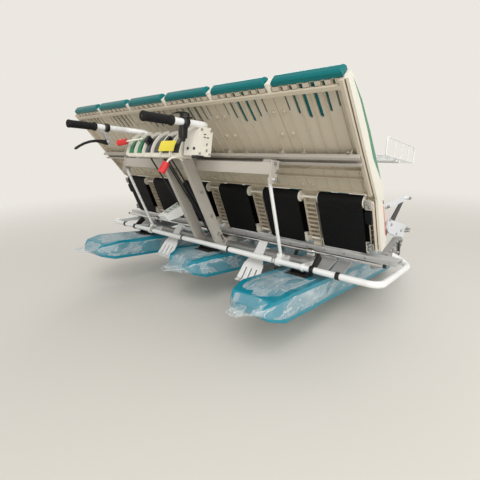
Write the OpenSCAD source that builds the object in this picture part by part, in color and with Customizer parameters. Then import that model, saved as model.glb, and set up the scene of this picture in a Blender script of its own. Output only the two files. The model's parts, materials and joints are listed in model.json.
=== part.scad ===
// Six-row walk-behind rice transplanter, standing parked: nose down on its two
// lugged wheels and the front of its centre float. Units are millimetres.
// X points forward, Y to the machine's left and Z up, with the origin on the floor under the middle of its length.
// Every sub-part is drawn level, in the machine's own frame, and parked() tips it as it stands.

/* [Wheels] */
// Radius over the tips of the rubber lugs
wheel_r = 330; // [300:1:350]
// Radius of the middle of the rim tube
rim_r = 268; // [240:1:280]
// Diameter of the rim tube
rim_tube_d = 24; // [16:1:30]
// Distance of each wheel from the machine's middle
wheel_y = 300; // [290:1:310]
// Width of a lug across the wheel
lug_w = 64; // [40:1:70]
// Number of lugs round a wheel
lug_count = 9; // [8:1:12]
// Where the axle is, along the machine
axle_x = 75; // [65:1:85]
// Height of the axle above the machine's own level line
axle_z = 330; // [320:1:340]

/* [Rows] */
// Distance between rows
row_pitch = 300; // [300:1:304]
// Number of rows
row_count = 6; // [6:2:6]
// Side travel of the seedling table each way
table_travel = 120; // [100:1:130]

/* [Seedling table] */
// Length of the steep lower part of the deck
lower_len = 262; // [250:1:270]
// Lean of the lower part from upright, in degrees
lower_lean = 27.7; // [26:0.1:29]
// Length of the upper part of the deck
upper_len = 548; // [500:1:560]
// Lean of the upper part from upright, in degrees
upper_lean = 45.5; // [44:0.1:47]
// Where the deck bends, along the machine
knee_x = -425; // [-430:1:-420]
// Where the deck bends, above the level line
knee_z = 610; // [605:1:620]
// Thickness of the deck's skin
skin_t = 7; // [4:0.5:9]
// Depth of the rims and level ribs behind the skin
rib_h = 20; // [12:1:24]
// Thickness of a rib
rib_t = 3; // [2:0.5:5]
// Depth of the fine upright ribs on the skin's back
fine_rib_h = 3; // [1:0.5:6]
// Height of the walls between lanes
wall_h = 45; // [30:1:55]
// Thickness of a side panel
panel_t = 14; // [8:1:18]
// Height of a side panel above the lanes' floor at its deepest
panel_h = 56; // [46:1:70]
// Length of a teal extension plate
plate_len = 266; // [240:1:280]

/* [Feed belts] */
// Width of a feed belt
belt_w = 200; // [160:1:210]
// Thickness of a feed belt
belt_t = 4; // [3:0.5:6]
// Diameter of the belt rollers
roller_d = 46; // [36:1:48]
// Distance between the two roller shafts
roller_gap = 228; // [200:1:232]

/* [Handles] */
// Diameter of the white handle tube
handle_d = 28; // [24:1:32]
// Diameter of a rubber grip
grip_d = 36; // [32:1:42]
// Length of a rubber grip
grip_len = 136; // [110:1:150]
// Distance of a grip from the machine's middle
grip_y = 292; // [270:1:310]
// Height of the grips above the level line
grip_z = 852; // [840:1:860]
// Where a grip ends, along the machine
grip_end_x = -1138; // [-1150:1:-1120]
// Width of a flat handle post
post_w = 62; // [50:1:70]
// Thickness of a flat handle post
post_t = 24; // [18:1:28]

/* [Guards] */
// Diameter of the rear guard tube
guard_d = 28; // [22:1:32]
// Half width of the rear guard over its tube's middle
guard_y = 965; // [950:1:980]
// Where the rear guard runs across, along the machine
guard_x = -507; // [-520:1:-500]
// Height of the rear guard above the level line
guard_z = 275; // [270:1:280]
// Bend radius of the guard tube
guard_bend = 70; // [60:1:90]
// Where the front guard ends, along the machine
front_x = 1110; // [1080:1:1160]

/* [Floats] */
// Width of a side float
side_float_w = 236; // [200:1:240]
// Width of the centre float
centre_float_w = 250; // [220:1:260]
// Height of a float's top above the level line
float_top_z = 232; // [225:1:236]
// Height of the side floats' bottom above the level line
side_float_z = 122; // [118:1:140]
// Height of the centre float's lowest edge above the level line
centre_float_z = 98; // [90:1:110]
// Where the centre float's belly turns up at the nose
float_nose_x = 740; // [720:1:760]

/* [Rake and rack] */
// Width of a rake over its tines
rake_w = 132; // [110:1:140]
// Number of tines of a rake
tine_count = 4; // [4:1:5]
// Length of a spare seedling rack
rack_len = 600; // [560:1:620]
// Width of a spare seedling rack
rack_w = 290; // [280:1:300]
// Diameter of the rack's frame wire
rack_wire_d = 9; // [7:0.5:11]

/* [Hidden] */
$fn = 48;
eps = 0.3;
run_gap = 0.1;
lap = 0.6;
bend_swell = 1.02;
lug_tip_t = 16;
rest_axle_z = wheel_r * cos(180 / lug_count) + lug_tip_t / 2 * sin(180 / lug_count);
belly_drop = axle_z - centre_float_z;
nose_reach = float_nose_x - axle_x;
pitch = asin(rest_axle_z / norm([nose_reach, belly_drop])) - atan2(belly_drop, nose_reach);
guard_top_z = 610;
tube_knee_x = -830;
tube_tilt = atan2(12, tube_knee_x - grip_end_x);
parked_front = parked_x(front_x - guard_d / 2, guard_top_z) + guard_d / 2;
parked_back = parked_x(grip_end_x, grip_z) - grip_d / 2 * sin(pitch - tube_tilt);
middle_x = (parked_front + parked_back) / 2;
row_half = row_count * row_pitch / 2;
row_ys = [for (i = [0:row_count - 1]) -row_half + row_pitch * (i + 0.5)];
case_ys = [-2 * row_pitch, 0, 2 * row_pitch];
knee = [knee_x, knee_z];

hub_w = 64;
axle_d = 26;
spoke_count = 3;
deck_half = row_half - panel_t;
roller_depth = 25;
roller_s = -10;
slot_top = 6;
band_top = 20;
band_t = 14;
rim_w = 13;
pad_half = 27;
// Distance from the lane's middle, width and lower end below the deck's top of each sight slot
sight_slots = [[22, 16, 136], [62, 11, 118], [98, 7, 102]];
// Reach of each tab along the top edge, from the lane's middle
tab_spans = [[-11, 11], [34, 53], [71, 90], [107, 134]];
channel_x = skin_t + rib_h;
channel_deep = 20;
channel_s = 232;
pipe_x = -403;
pipe_z = 272;
pipe_d = 50;
case_half = 25;
centre_case_extra = 43;
crank_x = 0;
crank_z = 338;
crank_pin = [28, 372];
rocker_pin = [168, 440];
rocker_foot = [60, 322];
arm_w = 44;
end_plate_y = 878;
end_plate_t = 16;
gate_x0 = -345;
gate_x1 = -270;
gate_z0 = 325;
gate_z1 = 352;
gate_half = 978;
rod_x = -385;
rod_z = 329;
beam_x = -664;
beam_z = 702;
beam_w = 40;
beam_h = 50;
beam_half = 540;
stay_foot_y = 500;
post_y = 80;
post_top = [-774, 782];
box_top_z = grip_z + 12 - handle_d / 2 + 4;
ledge_z = 725;
guide_y0 = -214;
guide_y1 = 192;
guide_ribs = 7;
gearbox_w = 230;
gearbox_x0 = 230;
gearbox_x1 = 520;
swing_x = 340;
swing_z = 400;
swing_in_y = 222;
swing_t = 40;
lift_x = 110;
frame_top_z = 390;
rail_y = 105;
engine_x0 = 700;
engine_x1 = 940;
engine_w = 300;
engine_top_z = 610;
cover_x0 = 655;
cover_x1 = 1010;
cover_w = 370;
cover_z0 = 424;
cover_pivot = [670, 440];
louvre_count = 6;
tie_x = 1032;
tie_r = 11;
rake_top = [-400, 331];
rake_foot = [-522, 150];
rack_x0 = 190;
rack_y0 = 425;
rack_z = 832;
rack_h = 106;

// How far ahead of the axle a point of the level machine lies once it is tipped
function parked_x(x, z) = (x - axle_x) * cos(pitch) + (z - axle_z) * sin(pitch);

// Height of the handle tube's straight back run
function tube_z(x) = grip_z + (x - grip_end_x) * tan(tube_tilt);

// Tips the level machine onto the floor as it stands parked
module parked() {
    translate([-middle_x, 0, rest_axle_z]) rotate([0, pitch, 0]) translate([-axle_x, 0, -axle_z]) children();
}

// Points of the side view at x out of the front face and s up the slope of the deck's two parts
function upper_at(x, s) = knee + x * [cos(upper_lean), sin(upper_lean)] + s * [-sin(upper_lean), cos(upper_lean)];
function lower_at(x, s) = knee + x * [cos(lower_lean), sin(lower_lean)] + s * [-sin(lower_lean), cos(lower_lean)];

// Round bar between two points
module rod(p, q, d) {
    v = q - p;
    translate(p) rotate([0, acos(v.z / norm(v)), atan2(v.y, v.x)]) cylinder(h = norm(v), d = d);
}

// Unit vector along v
function unit(v) = v / norm(v);

// Turn of a run at its point i, in degrees
function turn(p, i) = acos(unit(p[i] - p[i - 1]) * unit(p[i + 1] - p[i]));

// Length that a bend takes from the straights on each side of point i
function bend_trim(p, i, bend) = (i == 0 || i == len(p) - 1) ? 0 : bend * tan(turn(p, i) / 2) - lap;

// Round bar through several points, with a true bend at each inner one that sleeves the straights' ends
module bent_rod(points, d, bend) {
    for (i = [0:len(points) - 2]) {
        along = unit(points[i + 1] - points[i]);
        rod(points[i] + along * bend_trim(points, i, bend), points[i + 1] - along * bend_trim(points, i + 1, bend), d);
    }
    for (i = [1:len(points) - 2]) {
        before = unit(points[i] - points[i - 1]);
        after = unit(points[i + 1] - points[i]);
        c = points[i] + unit(after - before) * bend / cos(turn(points, i) / 2);
        e = unit(points[i] - before * bend * tan(turn(points, i) / 2) - c);
        g = cross(e, before);
        multmatrix([[e.x, before.x, g.x, c.x], [e.y, before.y, g.y, c.y], [e.z, before.z, g.z, c.z], [0, 0, 0, 1]])
            rotate_extrude(angle = turn(points, i)) translate([bend, 0]) circle(d = d * bend_swell);
    }
}

// Stands an outline drawn in X and Z upright, t thick about y
module upright(y, t) {
    translate([0, y + t / 2, 0]) rotate([90, 0, 0]) linear_extrude(t) children();
}

// Normal of the run from point i to the next
function run_normal(p, i) = [p[i].y - p[i + 1].y, p[i + 1].x - p[i].x] / norm(p[i + 1] - p[i]);

// Offset of a strap's edge from its point i, mitred where two runs meet
function edge_offset(p, i, w) =
    i == 0 ? run_normal(p, 0) * w / 2
    : i == len(p) - 1 ? run_normal(p, i - 1) * w / 2
    : (run_normal(p, i - 1) + run_normal(p, i)) * w / 2 / (1 + run_normal(p, i - 1) * run_normal(p, i));

// Half round from direction n, turned clockwise, about the point c
function end_cap(c, n, w) = [for (a = [15:15:165]) c + w / 2 * [n.x * cos(a) + n.y * sin(a), n.y * cos(a) - n.x * sin(a)]];

// Flat strap with round ends through several points, as one outline
module bent_strap(points, w) {
    last = len(points) - 1;
    polygon(concat(
        [for (i = [0:last]) points[i] + edge_offset(points, i, w)],
        end_cap(points[last], run_normal(points, last - 1), w),
        [for (i = [last:-1:0]) points[i] - edge_offset(points, i, w)],
        end_cap(points[0], -run_normal(points, 0), w)
    ));
}

module strap(a, b, w) {
    bent_strap([a, b], w);
}

module block(low, high) {
    translate(low) cube(high - low);
}

module both_sides() {
    children();
    mirror([0, 1, 0]) children();
}

// Engine block under the cover, as one plain mass
module engine() {
    color("dimgray") parked() block([engine_x0, -engine_w / 2, frame_top_z], [engine_x1, engine_w / 2, engine_top_z]);
}

module transmission_case() {
    color("silver") parked() {
        upright(0, gearbox_w) polygon([
            [gearbox_x0, 292], [gearbox_x0, 430], [290, 480], [450, 480], [gearbox_x1, 430], [gearbox_x1, 300], [480, 285], [280, 285]
        ]);
        both_sides() rod([swing_x, gearbox_w / 2 - 10, swing_z], [swing_x, swing_in_y - swing_t / 2, swing_z], 74);
    }
}

module main_frame() {
    color("dimgray") parked() {
        both_sides() difference() {
            block([gearbox_x1, rail_y - 16, frame_top_z - 40], [1050, rail_y + 16, frame_top_z]);
            block([gearbox_x1 - 1, rail_y - 12, frame_top_z - 36], [1051, rail_y + 17, frame_top_z - 4]);
        }
        for (x = [gearbox_x1, 690]) block([x, -165, frame_top_z - 6], [x + 65, 165, frame_top_z]);
        difference() {
            block([985, -165, frame_top_z - 6], [1050, 165, frame_top_z]);
            translate([tie_x, 0, frame_top_z - 10]) cylinder(h = 20, r = tie_r);
        }
        both_sides() {
            block([cover_x1 - 16, 60, frame_top_z], [cover_x1 - 2, 120, cover_z0 - eps]);
            difference() {
                upright(168, 6) union() {
                    polygon([[cover_pivot.x - 6, cover_pivot.y - 12], [cover_pivot.x - 6, cover_pivot.y + 12],
                        [cover_pivot.x + 12, cover_pivot.y + 12], [760, frame_top_z], [690, frame_top_z - 6]]);
                }
                block([cover_pivot.x - 40, 100, 300], [690, 164.9, 500]);
            }
            block([690, 160, frame_top_z - 6], [755, 171, frame_top_z]);
            rod([cover_pivot.x, 165, cover_pivot.y], [cover_pivot.x, cover_w / 2 + 5, cover_pivot.y], 10);
        }
    }
}

module front_guard() {
    x = front_x - guard_d / 2;
    color("whitesmoke") parked() bent_rod([
        [1034, 148, frame_top_z], [1034, 148, 430], [x, 148, 470], [x, 148, guard_top_z],
        [x, -148, guard_top_z], [x, -148, 470], [1034, -148, 430], [1034, -148, frame_top_z]
    ], guard_d, 38);
}

// Chain case that carries a wheel on its stub axle
module swing_case() {
    upright(swing_in_y, swing_t) {
        strap([swing_x, swing_z], [axle_x, axle_z], 62);
        translate([swing_x, swing_z]) circle(d = 104);
        translate([axle_x, axle_z]) circle(d = 82);
    }
    rod([axle_x, swing_in_y + swing_t / 2 - 5, axle_z], [axle_x, wheel_y + hub_w / 2 + 12, axle_z], axle_d);
    rod([axle_x, wheel_y + hub_w / 2 + 2, axle_z], [axle_x, wheel_y + hub_w / 2 + 7, axle_z], axle_d + 18);
}

module swing_cases() {
    color("gray") parked() both_sides() swing_case();
}

module lift_cylinder() {
    color("gainsboro") parked() {
        rod([340, 0, 512], [160, 0, 512], 62);
        rod([160, 0, 512], [lift_x, 0, 512], 24);
        rod([lift_x, -swing_in_y, 512], [lift_x, swing_in_y, 512], 20);
        block([300, -26, 480], [340, 26, 512]);
        both_sides() difference() {
            rod([lift_x, swing_in_y - 8, 512], [lift_x + 20, swing_in_y - 8, axle_z + 20], 12);
            swing_case();
        }
    }
}

// Pipe across the back that carries the three planting cases
module cross_pipe() {
    color("silver") parked() both_sides()
        rod([pipe_x, case_half + centre_case_extra, pipe_z], [pipe_x, case_ys[2] - case_half, pipe_z], pipe_d);
}

// Planting case from the cross pipe forward to its crank shaft, with a foot under the gate rail
module planting_case(half) {
    upright(0, 2 * half) {
        case_outline();
        translate([crank_x, crank_z]) circle(d = 92);
        strap([crank_x, crank_z], rocker_foot, 34);
        translate([gate_x0 + 20, pipe_z + 20]) square([32, gate_z1 - 5 - pipe_z - 20]);
    }
}

module case_outline() {
    bent_strap([[pipe_x, pipe_z + 4], [pipe_x + 66, pipe_z + 10], [crank_x, crank_z]], 46);
    translate([pipe_x, pipe_z]) circle(d = 76);
}

module planting_case_centre() {
    color("silver") parked() {
        planting_case(case_half + centre_case_extra);
        block([crank_x + 30, -30, crank_z - 32], [gearbox_x0, 30, crank_z + 28]);
    }
}

module side_planting_cases() {
    color("silver") parked() for (y = [case_ys[0], case_ys[2]]) translate([0, y, 0]) planting_case(case_half);
}

// Arm that swings each claw through its gate
module planting_arms() {
    color("gainsboro") parked() for (y = row_ys) upright(y, arm_w) difference() {
        arm_outline();
        translate(crank_pin) circle(d = 24);
        translate(rocker_pin) circle(d = 16);
    }
}

module arm_outline() {
    polygon([
        [192, 452], [182, 424], [120, 398], [52, 350], [22, 348], [-6, 372], [-110, 440], [-182, 456], [-176, 500], [-60, 500]
    ]);
}

// Cranks on the case's shaft and the rockers, on their own shaft, that guide each arm's front end
module rocker_links() {
    color("dimgray") parked() for (c = case_ys) for (side = [-1, 1]) {
        half = case_half + (c == 0 ? centre_case_extra : 0);
        face = row_pitch / 2 - arm_w / 2;
        translate([0, c, 0]) mirror([0, side < 0 ? 1 : 0, 0]) {
            rod([crank_x, half, crank_z], [crank_x, face - 12, crank_z], 26);
            upright(face - 12 + 5.5, 11) strap([crank_x, crank_z], crank_pin, 40);
            rod([crank_pin.x, face - 7, crank_pin.y], [crank_pin.x, face + arm_w, crank_pin.y], 23.9);
            upright(face + arm_w + 6, 10) strap(rocker_pin, rocker_foot, 24);
            rod([rocker_pin.x, face + arm_w + 6, rocker_pin.y], [rocker_pin.x, face, rocker_pin.y], 15.9);
            rod([rocker_foot.x, half, rocker_foot.y], [rocker_foot.x, face + arm_w + 6, rocker_foot.y], 14);
        }
    }
    color("dimgray") parked() both_sides() upright(end_plate_y - end_plate_t / 2 - 11 - eps, 6) difference() {
        polygon([[96, 614], [112, 606], [108, 594], [-70, 456], [-100, 462], [-104, 490]]);
        translate([102, 604]) circle(d = 18 + eps);
    }
}

module planting_claws() {
    color("dimgray") parked() for (y = row_ys) {
        difference() {
            block([-196, y - 10, 464], [-172, y + 10, 496]);
            upright(y, arm_w) arm_outline();
        }
        for (side = [-1, 1]) bent_rod([[-190, y + 6 * side, 474], [-214, y + 6 * side, 440], [-238, y + 6 * side, 376]], 5, 20);
    }
}

// Cast plates at the rail's ends
module end_brackets() {
    color("silver") parked() both_sides() difference() {
        upright(end_plate_y, end_plate_t) polygon([
            [-350, 300], [-350, gate_z0], [-250, gate_z0], [-205, 358], [-160, 372], [-60, 408], [40, 404], [62, 372], [30, 330], [-60, 306], [-250, 286]
        ]);
        translate([20, 0, 370]) rotate([-90, 0, 0]) cylinder(h = 1200, d = 20);
        translate([-80, 0, 358]) rotate([-90, 0, 0]) cylinder(h = 1200, d = 34);
    }
}

// Bars and cover plate outside the last rows
module outer_links() {
    color("lightgray") parked() both_sides() {
        upright(end_plate_y - end_plate_t / 2 - 4, 8) {
            strap([-196, 566], [102, 604], 26);
            strap([186, 430], [24, 372], 34);
            polygon([[-166, 462], [-160, 508], [190, 448], [186, 414], [44, 396], [-128, 436]]);
        }
        rod([102, end_plate_y - end_plate_t / 2 - 17, 604], [102, end_plate_y + 8, 604], 18);
    }
}

// Rail that the table's foot slides on, with the lip that the gates are cut in
module gate_rail() {
    color("lightgray") parked() {
        difference() {
            block([gate_x0, -gate_half, gate_z0], [gate_x1, gate_half, gate_z1]);
            block([gate_x0 + 4, -gate_half - 1, gate_z0 - 1], [gate_x1 - 4, gate_half + 1, gate_z1 - 5]);
            for (y = row_ys) block([gate_x1 - 12, y - 12, gate_z1 - 6], [gate_x1 + 1, y + 12, gate_z1 + 1]);
        }
        both_sides() for (plate = [[682, 66, 0], [754, 62, 24]]) upright(plate[0], plate[1]) folded_plate(plate[2]);
    }
}

// Folded sheet that hangs behind the rail over a side float, shorter by cut
module folded_plate(cut) {
    polygon([
        [gate_x0 + 1, gate_z0 + 10], [gate_x0 - 3, gate_z0 + 10], [gate_x0 - 3, gate_z0 - 20], [-470 + cut, 256], [-473 + cut, 263],
        [-476 + cut, 262], [-472 + cut, 252], [gate_x0, gate_z0 - 24]
    ]);
}

// Shaft that feeds the table sideways, thicker where its cross groove is cut
module chrome_rod() {
    color("lightgray") parked() {
        rod([rod_x, -945, rod_z], [rod_x, 945, rod_z], 16);
        rod([rod_x, 40, rod_z], [rod_x, 60 + 2 * table_travel, rod_z], 24);
        for (y = case_ys) upright(y, 30) difference() {
            union() {
                translate([rod_x, rod_z]) circle(d = 30);
                translate([rod_x - 12, pipe_z + 12]) square([24, rod_z - pipe_z - 12]);
            }
            case_outline();
        }
    }
}

// Two flat posts from the cross pipe up to the controls
module handle_posts() {
    color([0.75, 0.72, 0.69]) parked() both_sides() difference() {
        upright(post_y, post_t) {
            bent_strap([post_top, [-474, 306], [-440, 284], [pipe_x, pipe_z + 2], [-362, 292]], post_w - 6);
            translate([pipe_x, pipe_z]) circle(d = 76);
        }
        translate([pipe_x, 0, pipe_z]) rotate([-90, 0, 0]) cylinder(h = 400, d = pipe_d + 2 * eps);
        translate([0, post_y, 0]) upright(0, post_t + 2) strap([-470, 330], [-446, 296], 14);
        block([beam_x - beam_w / 2, 0, beam_z - beam_h / 2], [beam_x + beam_w, 200, beam_z + beam_h]);
    }
}

// Box beam behind the table, with the shoes that its channel runs on
module cross_beam() {
    color([0.75, 0.72, 0.69]) parked() {
        difference() {
            block([beam_x - beam_w / 2, -beam_half, beam_z - beam_h / 2], [beam_x + beam_w / 2, beam_half, beam_z + beam_h / 2]);
            block([beam_x - beam_w / 2 + 3, -beam_half - 1, beam_z - beam_h / 2 + 3],
                [beam_x + beam_w / 2 - 3, beam_half + 1, beam_z + beam_h / 2 - 3]);
        }
        block([beam_x - beam_w / 2 - 38, -post_y + post_t / 2, beam_z - 20], [beam_x - beam_w / 2, post_y - post_t / 2, beam_z + 20]);
        both_sides() difference() {
            upright(beam_half + 4, 8) polygon([
                [beam_x - 34, beam_z - 62], [beam_x + 14, beam_z - 62], [beam_x + 32, beam_z + 34], [beam_x - 22, beam_z + 34]
            ]);
            translate([beam_x - 8, 0, beam_z - 44]) rotate([-90, 0, 0]) cylinder(h = 800, d = 12);
        }
        for (y = [-beam_half + 60, beam_half - 60]) on_upper() {
            block([-channel_x - 14, y - 35, channel_s - 15], [-channel_x - 3 - eps, y + 35, channel_s + 15]);
            block([-channel_x - 64, y - 20, channel_s - 5], [-channel_x - 13, y + 20, channel_s + 5]);
        }
    }
}

// Round stays from the beam's ends down to the rear guard's brackets
module stay_rods() {
    color("whitesmoke") parked() both_sides() {
        rod([beam_x - 8, beam_half - 10, beam_z - 50], [guard_x + 14, stay_foot_y, guard_z + 32], 16);
        rod([beam_x - 8, beam_half - 16, beam_z - 44], [beam_x - 8, beam_half + 22, beam_z - 44], 11.4);
        difference() {
            block([guard_x + 2, stay_foot_y - 14, guard_z + 12], [guard_x + 30, stay_foot_y + 14, guard_z + 36]);
            upright(stay_foot_y, 60) strap([guard_x, guard_z], [pipe_x, pipe_z], 40);
        }
    }
}

// One side of the white tube that carries the grips, d thick
module handle_run(d) {
    bent_rod([
        [grip_end_x + 4.2, grip_y, tube_z(grip_end_x + 4.2)], [tube_knee_x, grip_y, tube_z(tube_knee_x)],
        [-768, grip_y - 66, grip_z + 6], [-750, 146, 820], [-756, post_y, 772]
    ], d, 50);
}

// White tube that carries both grips and ends on the posts
module handlebars() {
    color("whitesmoke") parked() both_sides() difference() {
        handle_run(handle_d);
        block([-900, 0, 700], [-600, post_y + post_t / 2, 900]);
    }
}

module grips() {
    color([0.12, 0.12, 0.12]) parked() both_sides() translate([grip_end_x, grip_y, grip_z]) rotate([0, 90 - tube_tilt, 0]) difference() {
        union() {
            cylinder(h = grip_len, d = grip_d);
            translate([0, 0, grip_len - 8]) cylinder(h = 8, d = grip_d + 6);
        }
        translate([0, 0, 4]) cylinder(h = grip_len, d = handle_d + 2 * eps);
    }
}

// Clamp, bracket and curved lever under the left grip
module clutch_lever() {
    color([0.12, 0.12, 0.12]) parked() {
        translate([-948, grip_y, tube_z(-948)]) rotate([0, 90 - tube_tilt, 0]) difference() {
            cylinder(h = 24, d = 44, center = true);
            cylinder(h = 26, d = handle_d + 2 * eps, center = true);
        }
        upright(grip_y, 18) polygon([[-956, 840], [-938, 840], [-925, 772], [-962, 772]]);
        upright(grip_y, 12) bent_strap([[-944, 786], [-985, 790], [-1040, 778], [-1100, 740]], 13);
    }
}

// Clamp, thumb lever and switch block at the right grip
module throttle() {
    color([0.12, 0.12, 0.12]) parked() {
        translate([-941, -grip_y, tube_z(-941)]) rotate([0, 90 - tube_tilt, 0]) difference() {
            cylinder(h = 26, d = 46, center = true);
            cylinder(h = 28, d = handle_d + 2 * eps, center = true);
        }
        translate([-941, -grip_y, grip_z + 28]) cylinder(h = 14, d = 42);
        block([-990, -grip_y - 7, grip_z + 34], [-941, -grip_y + 7, grip_z + 42]);
        block([-966, -grip_y - 16, grip_z - 62], [-924, -grip_y + 16, grip_z - 12]);
    }
}

// Off-white box under the right handle tube
module control_console() {
    color("whitesmoke") parked() difference() {
        upright(-grip_y + 22, 84) polygon([
            [-884, 735], [-876, 836], [-860, box_top_z], [-812, box_top_z], [-800, 836], [-806, 735]
        ]);
        for (z = [758, 784]) translate([-830, 0, z]) rotate([90, 0, 0]) cylinder(h = 400, d = 13);
        mirror([0, 1, 0]) handle_run(handle_d + 2 * eps);
    }
}

// Ledge with arched ribs that the levers move between, over a dark slotted cover
module lever_guide() {
    color("whitesmoke") parked() {
        block([-885, guide_y0, ledge_z], [-795, guide_y1, ledge_z + 10]);
        block([-800, -post_y + post_t / 2 + eps, ledge_z], [-728, post_y - post_t / 2 - eps, ledge_z + 10]);
        for (i = [0:guide_ribs - 1]) upright(guide_y0 + 3 + i * (guide_y1 - guide_y0 - 6) / (guide_ribs - 1), 6) guide_arc(126, 112);
        upright((guide_y0 + guide_y1) / 2, guide_y1 - guide_y0) guide_arc(112, 108);
        lever_rods();
    }
}

module guide_arc(outer, inner) {
    intersection() {
        translate([-768, ledge_z + 6]) difference() {
            circle(r = outer);
            circle(r = inner);
        }
        translate([-920, ledge_z + 4]) square([126, 160]);
    }
}

// Two hand levers, bent clear of the guide
module lever_rods() {
    bent_rod([[-862, 100, 812], [-880, 130, 806], [-916, 180, 792]], 9, 40);
    bent_rod([[-874, -184, ledge_z + 9], [-890, -178, 752], [-922, -154, 687]], 9, 40);
}

module lever_knobs() {
    color("red") parked() difference() {
        union() {
            rod([-908, 168, 796], [-932, 205, 784], 30);
            rod([-916, -158, 702], [-934, -146, 656], 32);
        }
        lever_rods();
    }
}

// Slotted gate box on the left post for the planting depth and feed levers
module slotted_quadrant() {
    color("whitesmoke") parked() difference() {
        upright(post_y + post_t / 2 + 32, 64) quadrant_outline();
        for (y = [-14, 4, 22]) translate([-716, post_y + post_t / 2 + 30 + y, 424]) rotate([0, -27.7, 0]) block([26, -4, -14], [150, 4, 40]);
    }
}

module quadrant_outline() {
    polygon([[-716, 424], [-560, 506], [-546, 474], [-596, 424], [-690, 398]]);
}

// Thin rods and cables between the posts, and the depth rod down to its gate box
module control_rods() {
    color("dimgray") parked() difference() {
        union() {
            for (y = [-26, 0, 26]) rod([-800 + abs(y) / 4, y, ledge_z + 8], [pipe_x - 24 + abs(y) / 4, y, pipe_z + 30], 8);
            rod([-800, 128, ledge_z + 8], [-590, 128, 480], 8);
        }
        translate([pipe_x, -400, pipe_z]) rotate([-90, 0, 0]) cylinder(h = 800, d = 76);
        block([-900, -200, ledge_z], [-600, 200, ledge_z + 40]);
        upright(128, 40) quadrant_outline();
    }
}

// Guard tube round the back, with its brackets on the cross pipe and cases
module rear_guard() {
    color("whitesmoke") parked() both_sides() {
        difference() {
            bent_rod([
                [guard_x, 0, guard_z], [guard_x, guard_y, guard_z], [-90, guard_y, guard_z + 14],
                [-80, end_plate_y - 8, guard_z + 54]
            ], guard_d, guard_bend - 22);
            block([-200, 700, 200], [0, end_plate_y + end_plate_t / 2, 400]);
        }
        upright(case_ys[2] + case_half + 4, 8) difference() {
            strap([guard_x, guard_z], [pipe_x, pipe_z], 36);
            translate([guard_x, guard_z]) circle(d = guard_d - 2);
        }
        upright(stay_foot_y, 20) difference() {
            strap([guard_x, guard_z], [pipe_x, pipe_z], 40);
            translate([guard_x, guard_z]) circle(d = guard_d - 2);
            translate([pipe_x, pipe_z]) circle(d = pipe_d);
        }
    }
}

// Four-tined rake that smooths the wheel's track
module rake() {
    slope = atan2(rake_foot.y - rake_top.y, rake_foot.x - rake_top.x);
    length = norm(rake_foot - rake_top);
    pitch_y = rake_w / tine_count;
    translate([rake_top.x, wheel_y + 30, rake_top.y]) rotate([0, -slope, 0]) {
        difference() {
            linear_extrude(4) polygon([
                [0, -26], [length * 0.35, -30], [length * 0.62, -rake_w / 2 + 6], [length, -rake_w / 2],
                [length, rake_w / 2], [length * 0.62, rake_w / 2 - 6], [length * 0.35, 30], [0, 26]
            ]);
            for (i = [1:tine_count - 1]) translate([length * 0.72, (i - tine_count / 2) * pitch_y - 4, -1]) cube([length, 8, 6]);
            for (y = [-12, 0, 12]) translate([length * 0.4, y, -1]) cylinder(h = 6, d = 5);
        }
        for (i = [0:tine_count - 1]) translate([length, (i - tine_count / 2 + 0.5) * pitch_y, 0]) rotate([0, 40, 0])
            translate([-3, -pitch_y / 2 + 5, 0]) cube([27, pitch_y - 10, 4]);
    }
}

module rakes() {
    color("gainsboro") parked() both_sides() difference() {
        union() {
            rake();
            upright(wheel_y + 30, 52) translate([pipe_x, pipe_z]) circle(d = pipe_d + 12);
        }
        upright(wheel_y + 30, 200) translate([pipe_x, pipe_z]) circle(d = pipe_d);
    }
}

// Float as its side outline cut to its plan outline
module float_body(side, plan) {
    intersection() {
        translate([0, 300, 0]) rotate([90, 0, 0]) linear_extrude(600) polygon(side);
        translate([0, 0, 50]) linear_extrude(300) polygon(plan);
    }
}

module side_float() {
    half = side_float_w / 2;
    float_body(
        [[-862, 158], [-846, 142], [-770, side_float_z], [480, side_float_z], [580, 146], [650, 200],
            [640, 224], [590, float_top_z], [-740, float_top_z], [-830, 214], [-862, 184]],
        [[-862, -half * 0.62], [-840, -half * 0.82], [-760, -half], [520, -half], [610, -half * 0.8], [650, -half * 0.5],
            [650, half * 0.5], [610, half * 0.8], [520, half], [-760, half], [-840, half * 0.82], [-862, half * 0.62]]
    );
}

module side_floats() {
    color("teal") parked() for (y = [case_ys[0], case_ys[2]]) translate([0, y, 0]) side_float();
}

module float_centre() {
    half = centre_float_w / 2;
    color("teal") parked() float_body(
        [[-690, 170], [-672, 146], [-600, 126], [float_nose_x, centre_float_z], [820, 134], [868, 196],
            [860, 222], [800, float_top_z], [-600, float_top_z], [-668, 214], [-690, 192]],
        [[-690, -half * 0.6], [-664, -half * 0.84], [-600, -half], [700, -half], [820, -half * 0.86], [868, -half * 0.5],
            [868, half * 0.5], [820, half * 0.86], [700, half], [-600, half], [-664, half * 0.84], [-690, half * 0.6]]
    );
}

// Pivot ears between each float and its planting case
module float_brackets() {
    pivot = [-471, float_top_z + 13];
    color("dimgray") parked() for (c = case_ys) translate([0, c, 0]) {
        half = case_half + (c == 0 ? centre_case_extra / 4 : 0);
        block([-520, -half - 26, float_top_z], [-440, half + 26, float_top_z + 5]);
        for (side = [-1, 1]) upright(side * (half + 15), 6) polygon([
            [-505, float_top_z + 4], [-484, float_top_z + 24], [-458, float_top_z + 24], [-445, float_top_z + 4]
        ]);
        rod([pivot.x, -half - 20, pivot.y], [pivot.x, half + 20, pivot.y], 10);
        upright(0, 2 * half) difference() {
            strap(pivot, [pipe_x, pipe_z], 15);
            translate([pipe_x, pipe_z]) circle(d = 76);
        }
    }
}

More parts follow.
